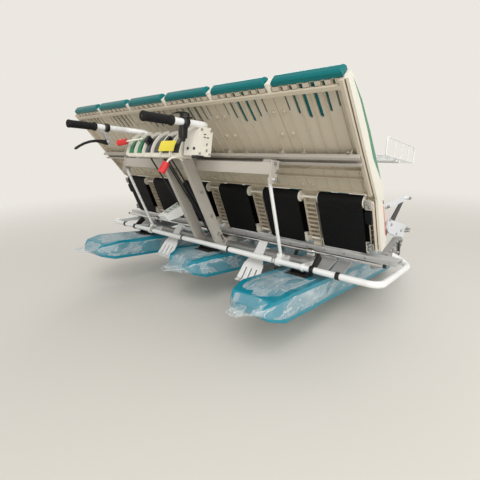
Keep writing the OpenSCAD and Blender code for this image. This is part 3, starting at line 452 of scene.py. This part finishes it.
SIDE_FLOAT = [    # x, half width, bottom, top
    (-862, 73, 158, 184), (-840, 97, 141, 205), (-760, 118, 122, 229), (-740, 118, 122, 232),
    (480, 118, 122, 232), (520, 118, 131, 232), (590, 98, 151, 232), (640, 66, 192, 224), (650, 59, 200, 212)]
CENTRE_FLOAT = [    # x, half width, bottom, top
    (-690, 75, 150, 190), (-664, 105, 144, 214), (-600, 125, 126, 232), (700, 125, 98.9, 232),
    (740, 122, 98, 232), (820, 107, 134, 229), (860, 70, 185, 222), (868, 62, 196, 210)]
FILM_OFF = 4.0                       # distance of the film from its float
FILM_SIDES = 30                      # faces round a ring of film
LAP = 0.04                           # share of a face by which each edge passes the seam underneath
BOXY = 5                             # power that squares the rounded section
RING_STEP, NOSE_LAP = 22.0, 7.0      # distance between rings, and how far the film passes the nose
TAIL_RINGS = (1.0, 0.82, 0.66, 0.55, 0.44, 0.28, 0.12)    # shares of the tail's length
GATHERED, TAIL_RISE = 0.78, 6.0      # share of its size that the tail loses, and how far it rises
NOSE_SHARE, NOSE_IN = 0.8, 6.0       # the ring past the nose is narrower and less tall
FOLD_SCALE = (0.011, 0.03, 0.04)     # folds are drawn out along the float
BROAD_FOLD, FINE_FOLD, FINER = 5.0, 2.6, 3.1
PLEAT, PLEAT_TURN = 7.0, 1.9         # depth of a pleat, and radians of its wave from face to face
WAVER, WAVER_FINER = 3.0, 2.3        # how far the rings waver along the float
FOLD_SHARE, FOLD_IN = 0.8, 1.6       # how much of a fold shows, and how deep it may go in
BRACKET_X, BRACKET_HALF, BRACKET_Z = (-536, -424), 70, 200    # the film is open round the pivot bracket
FLOOR_CLEAR = 0.0012                 # metres


def film_section(half, low, high):
    """Rounded box round a float at one station: (y, z) from the lap joint underneath round to it."""
    mid, tall, wide = (low + high) / 2, (high - low) / 2 + FILM_OFF, half + FILM_OFF
    out = []
    for i in range(FILM_SIDES + 1):
        a = 2 * math.pi * (i - LAP + 2 * LAP * i / FILM_SIDES) / FILM_SIDES - math.pi / 2
        c, s = math.cos(a), math.sin(a)
        k = (abs(c) ** BOXY + abs(s) ** BOXY) ** (-1 / BOXY)
        out.append((wide * c * k, mid + tall * s * k))
    return out


def at_station(stations, x):
    """Half width, bottom and top at x, between the stations of a float."""
    for a, b in zip(stations, stations[1:]):
        if x <= b[0]:
            t = max(0.0, (x - a[0]) / (b[0] - a[0]))
            return [p + (q - p) * t for p, q in zip(a[1:], b[1:])]
    return list(stations[-1][1:])


def fold_depth(p, i, gather, seed):
    """How far a point of the film stands off, with pleats where it is gathered."""
    fold = noise.noise(p) * BROAD_FOLD + noise.noise(p * FINER) * FINE_FOLD
    if gather > 0:
        fold += PLEAT * math.sin(i * PLEAT_TURN + seed) * min(1.0, gather * 2)
    return max(-FOLD_IN, fold * FOLD_SHARE)


def lift_off_floor(bm):
    """Keeps the film a little above the floor."""
    to_level = LEVEL.inverted()
    for v in bm.verts:
        place = LEVEL @ v.co
        if place.z < FLOOR_CLEAR:
            place.z = FLOOR_CLEAR
            v.co = to_level @ place


def wrap(name, y, stations, tail, seed):
    """Film round the float at y, from its nose to a gathered tail behind it."""
    piece = Piece()
    bm = piece.bm
    back, front = stations[0][0], stations[-1][0]
    count = int((front - back) / RING_STEP)
    xs = [back - tail * k for k in TAIL_RINGS]
    xs += [back + (front - back) * i / count for i in range(count + 1)] + [front + NOSE_LAP]
    rings = []
    for x in xs:
        half, low, high = at_station(stations, min(max(x, back), front))
        gather = (back - x) / tail
        if gather > 0:
            squeeze = 1.0 - GATHERED * math.sin(gather * math.pi / 2)
            mid = (low + high) / 2 + TAIL_RISE * gather
            half, low, high = half * squeeze, mid - (mid - low) * squeeze, mid + (high - mid) * squeeze
        if x > front:
            half, low, high = half * NOSE_SHARE, low + NOSE_IN, high - NOSE_IN
        ring = []
        for i, (dy, z) in enumerate(film_section(half, low, high)):
            p = Vector((x * FOLD_SCALE[0] + seed, dy * FOLD_SCALE[1], z * FOLD_SCALE[2]))
            out = Vector((dy, z - (low + high) / 2)).normalized() * fold_depth(p, i, gather, seed)
            waver = noise.noise(p * WAVER_FINER) * WAVER
            ring.append(bm.verts.new((x + waver, y + dy + out.x, z + out.y)))
        rings.append(ring)
    for a, b in zip(rings, rings[1:]):
        for i in range(FILM_SIDES):
            corners = (a[i], a[i + 1], b[i + 1], b[i])
            middle = sum((v.co for v in corners), Vector()) / 4
            at_bracket = BRACKET_X[0] < middle.x < BRACKET_X[1] and abs(middle.y - y) < BRACKET_HALF
            if not (at_bracket and middle.z > BRACKET_Z):
                bm.faces.new(corners)
    lift_off_floor(bm)
    area = sum(f.calc_area() for f in bm.faces) * MM * MM
    obj = piece.done(name, "film", "chassis", smooth=60)


wrap("film_left", 600.0, SIDE_FLOAT, 84.0, 1.0)
wrap("film_centre", 0.0, CENTRE_FLOAT, 96.0, 7.3)
wrap("film_right", -600.0, SIDE_FLOAT, 90.0, 13.1)


# Side panels of the table: tapering green stripe with a pale border, red-orange stripe, notches drawn as
# painted shade, and a brown strip of painted shadow in the gap along each panel's joint with the deck.
# Outlines are (x, z) in UPPER or LOWER. Marks start just inside the panel's outer face.

PANEL_IN, BORDER_OUT, GREEN_IN, GREEN_OUT, MARK_OUT = 899.9, 900.5, 900.2, 900.9, 900.7
STRIPE_FRONT = [(20, 525), (43, 430), (53, 300), (54, 187), (54, 54)]
STRIPE_REAR = [(18, 525), (32, 430), (34, 300), (28, 187), (52.5, 54)]
BORDER_FRONT, BORDER_REAR = 1.4, 3.0
ORANGE_STRIPE = [(44, -60), (51, -66), (51, -215), (44, -209)]
DARK_END = [(43, -32), (50, -40), (50, -56), (43, -50)]
NOTCHES, NOTCH_Y, NOTCH_FOOT, NOTCH_STEP, NOTCH_TALL = 8, 876, -232, 24, 16
GAP_SHADOWS = (("upper", UPPER, 4, 540), ("lower", LOWER, -250, -4))    # frame, foot and top of each


def panel_marks(name, side):
    border = Piece(UPPER)
    edge = [(x + BORDER_FRONT, z) for x, z in STRIPE_FRONT]
    edge += [(x - BORDER_REAR, z) for x, z in STRIPE_REAR[::-1]]
    prism(border.bm, edge, side * PANEL_IN, side * BORDER_OUT)
    border.done("stripe_border_" + name, "paper", "table")
    green = Piece(UPPER)
    prism(green.bm, STRIPE_FRONT + STRIPE_REAR[::-1], side * GREEN_IN, side * GREEN_OUT)
    green.done("stripe_green_" + name, "green", "table")
    orange = Piece(LOWER)
    prism(orange.bm, ORANGE_STRIPE, side * PANEL_IN, side * MARK_OUT)
    orange.done("stripe_orange_" + name, "orange", "table")
    # A dark mark at the orange stripe's top, and notches drawn as thin dark blocks of painted shade.
    dark = Piece(LOWER)
    prism(dark.bm, DARK_END, side * PANEL_IN, side * MARK_OUT)
    for i in range(NOTCHES):
        foot = NOTCH_FOOT + i * NOTCH_STEP
        block(dark.bm, (-36.6, side * NOTCH_Y - 4, foot), (-35.6, side * NOTCH_Y + 4, foot + NOTCH_TALL))
    dark.done("panel_notches_" + name, "shade_and_mark", "table")
    # Painted shadow: a thin brown strip on each panel's rear edge, where the gap between deck rim and panel
    # lies in shade.
    for part, at, foot, top in GAP_SHADOWS:
        shade_line = Piece(at)
        y0, y1 = sorted((side * 886.3, side * 890.2))
        block(shade_line.bm, (-13.5, y0, foot), (-12.9, y1, top))
        shade_line.done("panel_gap_shadow_%s_%s" % (part, name), "shade_line", "table")


for side_name, sign in SIDES.items():
    panel_marks(side_name, sign)


# Back of the table: clips between the teal plates, their hooked backs, screw bosses and the channel's bolts

clips = Piece(UPPER)
for k in range(-2, 3):
    y = k * ROW_PITCH
    block(clips.bm, (-13, y - 13, 540), (24, y + 13, 561), 3.5)
    block(clips.bm, (-15, y - 9, 512), (-5, y + 9, 552), 3.0)
clips.done("edge_clips", "cream", "table")

backs = Piece(UPPER)
for y in ROWS:
    block(backs.bm, (0.6, y - 132, 398), (3.4, y + 132, 552), 1.2)
backs.done("plate_backs", "teal", "table")

BOSS = [(9, 0), (8, 7), (7, 8), (4, 8), (4, 5), (0, 5)]
bosses = Piece(UPPER)
for y in ROWS:
    for dy in (-125, 125):
        for z in (60, 196, 338, 440):
            turned(bosses.bm, BOSS, (-7, y + dy, z), REARWARD, 14)
bosses.done("screw_bosses", "beige", "table")

channel_bolts = Piece(UPPER)
for y in ROWS:
    for dy in (-90, 90):
        bolt(channel_bolts.bm, (-27, y + dy, 262), UPWARD, 6)
channel_bolts.done("channel_bolts", "zinc", "table")

hangers = Piece(LOWER)
block(hangers.bm, (-41, 852, -240), (-37, 881, -206), 1.2)
block(hangers.bm, (-52, 878, -236), (-37, 881, -210), 1.0)
bolt(hangers.bm, (-41, 862, -214), REARWARD, 7)
turned(hangers.bm, [(0, 0), (11, 0), (11, 10), (7, 12), (7, 20), (0, 20)], (-41, 866, -230), REARWARD, 16)
bolt(hangers.bm, (-44, 866, -2), REARWARD, 9, proud=6)
bolt(hangers.bm, (-44, 877, -20), REARWARD, 7)
hangers.done("hanger_hardware", "zinc", "table", both=True)


# Cross cleats on the feed belts, spaced evenly round both rollers

ROLLER_X, ROLLER_TOP, ROLLER_LOW, BELT_R = -25.0, -10.0, -238.0, 27.0
CLEATS, CLEAT_HALF, CLEAT_SUNK = 58, 97, 0.3
CLEAT_SECTION = [(1.8, 0.0), (1.2, 1.5), (-1.2, 1.5), (-1.8, 0.0)]    # along the belt, out of it
STRAIGHT = ROLLER_TOP - ROLLER_LOW
HALF_TURN = math.pi * BELT_R


def belt_face(s):
    """Point of the belt's face and the angle that it faces, s millimetres on from the lower roller's back."""
    if s < STRAIGHT:
        return Vector((ROLLER_X - BELT_R, 0, ROLLER_LOW + s)), math.pi
    if STRAIGHT + HALF_TURN <= s < 2 * STRAIGHT + HALF_TURN:
        return Vector((ROLLER_X + BELT_R, 0, ROLLER_TOP - (s - STRAIGHT - HALF_TURN))), 0.0
    if s < STRAIGHT + HALF_TURN:
        centre_z, angle = ROLLER_TOP, math.pi - (s - STRAIGHT) / BELT_R
    else:
        centre_z, angle = ROLLER_LOW, -(s - 2 * STRAIGHT - HALF_TURN) / BELT_R
    return Vector((ROLLER_X + BELT_R * math.cos(angle), 0, centre_z + BELT_R * math.sin(angle))), angle


cleats = Piece(LOWER)
for y in ROWS:
    for i in range(CLEATS):
        face, angle = belt_face((2 * STRAIGHT + 2 * HALF_TURN) * i / CLEATS)
        out = Vector((math.cos(angle), 0, math.sin(angle)))
        along = Vector((-out.z, 0, out.x))
        foot = face - out * CLEAT_SUNK
        skin(cleats.bm, [[cleats.bm.verts.new(foot + Vector((0, y + end, 0)) + along * u + out * h)
                          for u, h in CLEAT_SECTION] for end in (-CLEAT_HALF, CLEAT_HALF)])
cleats.done("belt_cleats", "belt", "table", smooth=80)


# Grips, levers and switchgear on the white handle tube

TUBE_TILT = math.atan2(12.0, 308.0)
ALONG_TUBE = Vector((math.cos(TUBE_TILT), 0.0, math.sin(TUBE_TILT)))
TUBE_R, GRIP_R, GRIP_LEN, FLANGE_R = 14.3, 17.9, 136.0, 20.8
RIBS, RIB_STEP = 13, 8.4


def on_tube(x):
    """Point of the left handle tube's middle line at x."""
    return GRIP_END + ALONG_TUBE * ((x - GRIP_END.x) / math.cos(TUBE_TILT))


def collar(bm, at, r, half):
    """Clamp round the handle tube."""
    profile = [(TUBE_R, 1 - half), (r - 2, -half), (r, 3 - half), (r, half - 3), (r - 2, half),
               (TUBE_R, half - 1), (TUBE_R, 1 - half)]
    turned(bm, profile, at, ALONG_TUBE, 28)


grips = Piece()
grip_profile = [(4.5, 8), (4.5, 0), (13, 0), (17, 2), (19, 6), (19, 10)]
for i in range(RIBS):
    h = 12 + i * RIB_STEP
    grip_profile += [(16.8, h), (16.8, h + 2.2), (GRIP_R, h + 3.4), (GRIP_R, h + 6.8)]
grip_profile += [(17, 122), (19.5, 124), (FLANGE_R, 128), (FLANGE_R, 133), (19, GRIP_LEN), (TUBE_R, GRIP_LEN),
                 (TUBE_R, 8), (4.5, 8)]
turned(grips.bm, grip_profile, GRIP_END, ALONG_TUBE, 32)
weld(grips.bm)
grips.done("ribbed_grips", "rubber", "chassis", replaces=("grips",), both=True)

LEVER = [    # from the pivot to the tip
    (-930, 790, 26), (-952, 787, 25), (-972, 789, 19), (-1000, 789, 13), (-1030, 782, 12), (-1058, 770, 11),
    (-1082, 755, 10), (-1096, 744, 11), (-1101, 739, 5)]
PIVOT_HEAD = [(0, 0), (8, 0), (8, 3), (5, 4), (5, 7), (0, 7)]
lever = Piece()
collar(lever.bm, on_tube(-948), 22, 12)
taper(lever.bm, LEVER, 287.5, 297)
turned(lever.bm, PIVOT_HEAD, (-940, 297, 790), OUTWARD, 16)
weld(lever.bm)
lever.done("curved_lever", "black", "chassis", replaces=("clutch_lever",), smooth=50)

CHEEK = [(-960, 846, 22), (-952, 826, 20), (-938, 800, 18), (-926, 776, 20)]
mount = Piece()
for y0, y1 in ((296.5, 299.5), (284.5, 287.4)):
    taper(mount.bm, CHEEK, y0, y1)
taper(mount.bm, [(-986, 846, 12), (-960, 838, 16), (-944, 822, 18)], 287, 297)
bolt(mount.bm, (-954, 299.5, 834), OUTWARD, 7)
bolt(mount.bm, (-938, 284.5, 790), RIGHTWARD, 6)
mount.done("lever_bracket", "plate", "chassis")

DIAL = [(0, 8), (12, 8), (13, 15), (21, 16), (21, 22), (19.5, 23), (19.5, 25), (21, 26), (21, 30), (18, 31),
        (7, 31), (6, 33), (0, 33)]
THUMB_BAR = [(-925, 892, 11), (-945, 893, 11), (-966, 893, 8), (-986, 889, 7), (-998, 884, 4)]
WIRE_END = [(0, 0), (6, 0), (5, 14), (3.2, 16), (3.2, 22), (0, 22)]
throttle = Piece()
thumb_at = on_tube(-941)
thumb_at.y = -GRIP_END.y
collar(throttle.bm, thumb_at, 23, 13)
turned(throttle.bm, DIAL, thumb_at, UPWARD, 28)
taper(throttle.bm, THUMB_BAR, -299, -285)
block(throttle.bm, (-962, -304, 796), (-930, -280, 846), 5.0)
block(throttle.bm, (-956, -300, 784), (-936, -284, 800), 4.0)
block(throttle.bm, (-966, -298, 812), (-960, -286, 832), 2.0)
turned(throttle.bm, WIRE_END, (-924, -292, 880), (1, 0, 0.1), 14)
weld(throttle.bm)
throttle.done("thumb_throttle", "black", "chassis", replaces=("throttle",), smooth=40)


# Lever guide: clear covers, slits drawn as dark strips of painted shade, green marks and buttons between its
# arched ribs, and a blank tag on them

ARCH = (-768.0, 731.0)
COVER_R, RIB_R = 112.0, 126.4
RIB_Y = [-211 + i * 400 / 6 for i in range(7)]
BAYS = [(a + 3.5, b - 3.5) for a, b in zip(RIB_Y, RIB_Y[1:])]
FIRST_GREEN = 4

cover = Piece()
for k, (y0, y1) in enumerate(BAYS):
    arc_band(cover.bm, ARCH, COVER_R, COVER_R + 1, 92, 173 if k < FIRST_GREEN else 126, y0, y1)
cover.done("guide_cover", "smoke", "chassis")
# Slits: dark strips of painted shade on the covers.
slits = Piece()
for y0, y1 in BAYS:
    arc_band(slits.bm, ARCH, COVER_R + 1, COVER_R + 1.6, 104, 164, (y0 + y1) / 2 - 5, (y0 + y1) / 2 + 5)
slits.done("guide_slit_shade", "shade_and_mark", "chassis")
green_marks = Piece()
for y0, y1 in BAYS[FIRST_GREEN:]:
    arc_band(green_marks.bm, ARCH, COVER_R, COVER_R + 1.2, 126.5, 174, y0, y1)
green_marks.done("guide_green_marks", "green", "chassis")
button = Piece()
arc_band(button.bm, ARCH, COVER_R + 0.5, 140, 138, 152, 30, 52, 3)
arc_band(button.bm, ARCH, COVER_R + 0.5, 126, 134, 157, -104, -86, 4)
button.done("guide_buttons", "black", "chassis")
tag = Piece()
arc_band(tag.bm, ARCH, RIB_R, RIB_R + 0.8, 148, 171, -172, -66)
tag.done("blank_tag", "yellow", "chassis")


# Console and slotted gate box

BUTTON = [(0, 0), (6.5, 0), (6.5, 0.8), (5, 1.2), (0, 1.2)]
panel = Piece()
block(panel.bm, (-888, -318, 722), (-850, -282, 736), 2.0)
for y in (-252, -290):
    turned(panel.bm, BUTTON, (-882.6, y, 764), (-1, 0, 0.06), 16)
for x, z in ((-846, 812), (-828, 812), (-846, 824)):
    block(panel.bm, (x - 6, CONSOLE_Y - 0.9, z - 2), (x + 6, CONSOLE_Y + 0.2, z + 2))
panel.done("console_latch", "black", "chassis")
screws = Piece()
for x, z in ((-872, 745), (-815, 745), (-866, 842), (-812, 842)):
    bolt(screws.bm, (x, CONSOLE_Y, z), RIGHTWARD, 5)
screws.done("console_screws", "zinc", "chassis")

gates = Piece(GATE_BOX)
for y in (117, 135):
    for x in (34, 62, 90, 118):
        block(gates.bm, (x, y - 3.4, -0.2), (x + 19, y + 3.4, 0.7))
gates.done("gate_box_marks", "green", "chassis")
# Slots: dark blocks of painted shade sunk in the gate box.
slots = Piece(GATE_BOX)
for y in (108, 126, 144):
    block(slots.bm, (26.5, y - 3.8, -14.5), (149.5, y + 3.8, -12.5))
slots.done("gate_box_slot_shade", "shade_and_mark", "chassis")


# Bands and clamps on the guard tube, and what is bolted to each side of the machine

bands = Piece()
for y, wide in ((795, 18), (676, 20), (184, 10)):
    half = wide / 2
    band = [(13.8, -half), (16.4, -half), (17, 1 - half), (17, half - 1), (16.4, half), (13.8, half)]
    turned(bands.bm, band, (GUARD_X, y, GUARD_Z), OUTWARD, 24)
taper(bands.bm, [(-512, 270, 24), (-490, 288, 26), (-462, 312, 34), (-446, 328, 38)], 670, 682)
turned(bands.bm, [(0, 0), (8.4, 0), (8.4, 12), (7, 13), (0, 13)], (-385, 934, 329), OUTWARD, 20)
bands.done("guard_bands", "black", "chassis", both=True)

clamps = Piece()
CLAMP_TOP = 291.5
block(clamps.bm, (GUARD_X - 8, 466, CLAMP_TOP), (GUARD_X + 8, 492, CLAMP_TOP + 4), 1.0)
for y in (472, 486):
    arc_band(clamps.bm, (GUARD_X, GUARD_Z), 13.9, 17.5, -70, 200, y - 2.5, y + 2.5, 14)
    bolt(clamps.bm, (GUARD_X, y, CLAMP_TOP + 4), UPWARD, 5, proud=5)
clamps.done("guard_clamps", "zinc", "chassis", both=True)

SIDE_BOLTS = [    # face that they sit on, thread proud of the head, then (x, z, size) of each
    (BRACKET_Y, 0, [(-330, 315, 8), (-230, 318, 9), (-188, 346, 9), (-130, 352, 8), (-40, 388, 9),
                    (40, 388, 9), (0, 328, 8), (-275, 300, 7)]),
    (BRACKET_Y, 4, [(102, 604, 9)]),
    (LINK_Y, 4, [(-196, 566, 9)]),
    (LINK_Y, 14, [(150, 426, 9), (172, 436, 10), (166, 422, 9)]),
    (LINK_Y, 0, [(-10, 424, 7), (70, 432, 7), (-110, 476, 7), (-140, 502, 7)]),
    (BEAM_PIN_Y, 0, [(-672, 658, 9)]),
    (BEAM_END_Y, 0, [(-668, 722, 8), (-654, 690, 8)]),
    (POST_Y, 3, [(-755, 752, 8), (-742, 731, 8), (-640, 570, 8), (-560, 443, 8), (-498, 344, 8),
                 (-452, 300, 8), (-385, 285, 8)]),
    (GEARBOX_Y, 0, [(250, 440, 9), (300, 468, 9), (440, 468, 9), (500, 430, 9), (505, 315, 9), (250, 305, 9),
                    (370, 470, 9), (370, 296, 9)]),
]
GATE_RAIL_X, GATE_BOLT_Z, STAY_FOOT_X, STAY_FOOT_TOP = -345, 339, -491, 311
SWING_X, SWING_Z, SWING_FACE, SWING_RING = 340, 400, 240.5, 42
fixings = Piece()
for y, proud, places in SIDE_BOLTS:
    for x, z, size in places:
        bolt(fixings.bm, (x, y, z), OUTWARD, size, proud=proud)
bearing = [(0, -2), (17, -2), (17, 4), (13, 6), (11, 3), (0, 3)]
turned(fixings.bm, bearing, (-80, BRACKET_Y, 358), OUTWARD, 24)
turned(fixings.bm, [(0, -2), (10, -2), (10, 7), (8, 9), (0, 9)], (20, BRACKET_Y, 370), OUTWARD, 20)
for y in range(75, 860, 96):
    bolt(fixings.bm, (GATE_RAIL_X, y, GATE_BOLT_Z), REARWARD, 5)
for y in (486, 514):
    bolt(fixings.bm, (STAY_FOOT_X, y, STAY_FOOT_TOP), UPWARD, 6)
for i in range(6):
    a = math.radians(60 * i + 20)
    at = (SWING_X + SWING_RING * math.cos(a), SWING_FACE, SWING_Z + SWING_RING * math.sin(a))
    bolt(fixings.bm, at, OUTWARD, 7)
fixings.done("fixings", "zinc", "chassis", both=True)

bars = Piece()
taper(bars.bm, [(-16, 386, 16), (-4, 360, 20), (6, 336, 20), (12, 314, 14)], BRACKET_Y + 1, BRACKET_Y + 6)
bars.done("end_levers", "dark", "chassis", both=True)

GEARBOX_RIBS = [    # x, foot and top of each rib on the gearbox's side
    (262, 300, 352), (312, 300, 352), (362, 300, 352), (412, 300, 352), (462, 300, 352),
    (262, 428, 446), (412, 428, 462), (462, 428, 462)]
ribs = Piece()
for x, foot, top in GEARBOX_RIBS:
    block(ribs.bm, (x - 2.5, GEARBOX_Y - 3, foot), (x + 2.5, GEARBOX_Y + 4, top), 1.0)
ribs.done("gearbox_ribs", "cast", "chassis", both=True)


# Filler cap and pull on the bonnet

CAP_X, CAP_Z, CAP_R, CAP_NUBS = 760, 716, 25, 12
CAP = [(30, -2), (30, 4), (CAP_R, 6), (CAP_R, 18), (23, 21), (8, 22), (7, 20), (0, 20)]
PULL = [(1001, -60, 545), (1018, -60, 545), (1018, 60, 545), (1001, 60, 545)]
trim = Piece()
turned(trim.bm, CAP, (CAP_X, 0, CAP_Z), UPWARD, 28)
for i in range(CAP_NUBS):
    a = 2 * math.pi * i / CAP_NUBS
    x, y = CAP_X + CAP_R * math.cos(a), CAP_R * math.sin(a)
    block(trim.bm, (x - 2, y - 2, CAP_Z + 5), (x + 2, y + 2, CAP_Z + 17), 0.8)
tube(trim.bm, rounded(PULL, 12, 4), 9, 10)
trim.done("bonnet_cap_and_pull", "black", "cover")


# Bolts round each wheel's hub, in the hub's own frame

HUB_BOLTS, HUB_RING, HUB_FACE = 5, 25, 32
for side_name, sign in SIDES.items():
    hub_trim = Piece(wheel_frame(sign))
    for i in range(HUB_BOLTS):
        a = 2 * math.pi * i / HUB_BOLTS + 0.3
        bolt(hub_trim.bm, (HUB_RING * math.cos(a), sign * HUB_FACE, HUB_RING * math.sin(a)), (0, sign, 0), 6)
    hub_trim.done("hub_bolts_" + side_name, "zinc", "wheel_" + side_name)


# Floor, light and world, in metres

BACKDROP = tint(linear(236, 232, 225), 1.0)
FLOOR_RGB, FLOOR_HALF = (214, 209, 200), 30.0
FADE_FROM, FADE_TO = 1.6, 5.0
GLOW = 0.62
LAMPS = [    # name, place, aim, size, watts
    ("key", (-3.4, -2.6, 3.6), (0.0, 0.0, 0.5), 2.6, 132),
    ("fill", (-1.0, -4.6, 1.6), (0.0, -0.3, 0.5), 2.8, 50),
    ("rim", (3.6, 2.8, 3.4), (0.0, 0.0, 0.5), 3.0, 72)]


def seen_rays(tree):
    """1 for rays straight from the camera and for mirror and clear ones, 0 for those that carry light."""
    path = add(tree, "LightPath")
    out = path.outputs["Is Camera Ray"]
    for kind in ("Is Glossy Ray", "Is Transmission Ray"):
        out = joined(tree, "Math", (out, path.outputs[kind]), "MAXIMUM")
    return out


def stage_floor():
    """Pale floor that fades into the backdrop far from the machine."""
    mesh = bpy.data.meshes.new("floor")
    s = FLOOR_HALF
    mesh.from_pydata([(-s, -s, 0), (s, -s, 0), (s, s, 0), (-s, s, 0)], [], [(0, 1, 2, 3)])
    mat, tree, shader = new_material("pale_floor")
    shader["Base Color"].default_value = tint(linear(*FLOOR_RGB), 1.0)
    shader["Roughness"].default_value = 0.85
    place = add(tree, "TexCoord").outputs["Object"]
    far = add(tree, "VectorMath", "LENGTH", Vector=place).outputs["Value"]
    fade = add(tree, "MapRange", Value=far, From_Min=FADE_FROM, From_Max=FADE_TO)
    fade.interpolation_type = "SMOOTHSTEP"
    share = joined(tree, "Math", (fade.outputs[0], seen_rays(tree)), "MULTIPLY")
    blank = add(tree, "Emission", Color=BACKDROP).outputs[0]
    plain = tree.nodes["Principled BSDF"].outputs[0]
    mixed = joined(tree, "MixShader", (share, plain, blank))
    put(tree, tree.nodes["Material Output"].inputs["Surface"], mixed)
    mesh.materials.append(mat)
    obj = bpy.data.objects.new("floor", mesh)
    scene.collection.objects.link(obj)


def lamp(name, at, aim, size, watts):
    data = bpy.data.lights.new(name, "AREA")
    data.size = size
    data.energy = watts
    obj = bpy.data.objects.new(name, data)
    scene.collection.objects.link(obj)
    obj.location = at
    obj.rotation_euler = (Vector(aim) - Vector(at)).to_track_quat("-Z", "Y").to_euler()


def make_world():
    """Even white light all round, with the backdrop's colour where it is seen or mirrored."""
    world = bpy.data.worlds.new("studio")
    world.use_nodes = True
    scene.world = world
    tree = world.node_tree
    seen = tree.nodes["Background"]
    seen.inputs["Color"].default_value = BACKDROP
    seen.inputs["Strength"].default_value = 1.0
    glow = add(tree, "Background", Color=(1.0, 1.0, 1.0, 1.0), Strength=GLOW)
    mixed = joined(tree, "MixShader", (seen_rays(tree), glow.outputs[0], seen.outputs[0]))
    put(tree, tree.nodes["World Output"].inputs["Surface"], mixed)


stage_floor()
for row in LAMPS:
    lamp(*row)
make_world()
scene.view_settings.view_transform = "Standard"
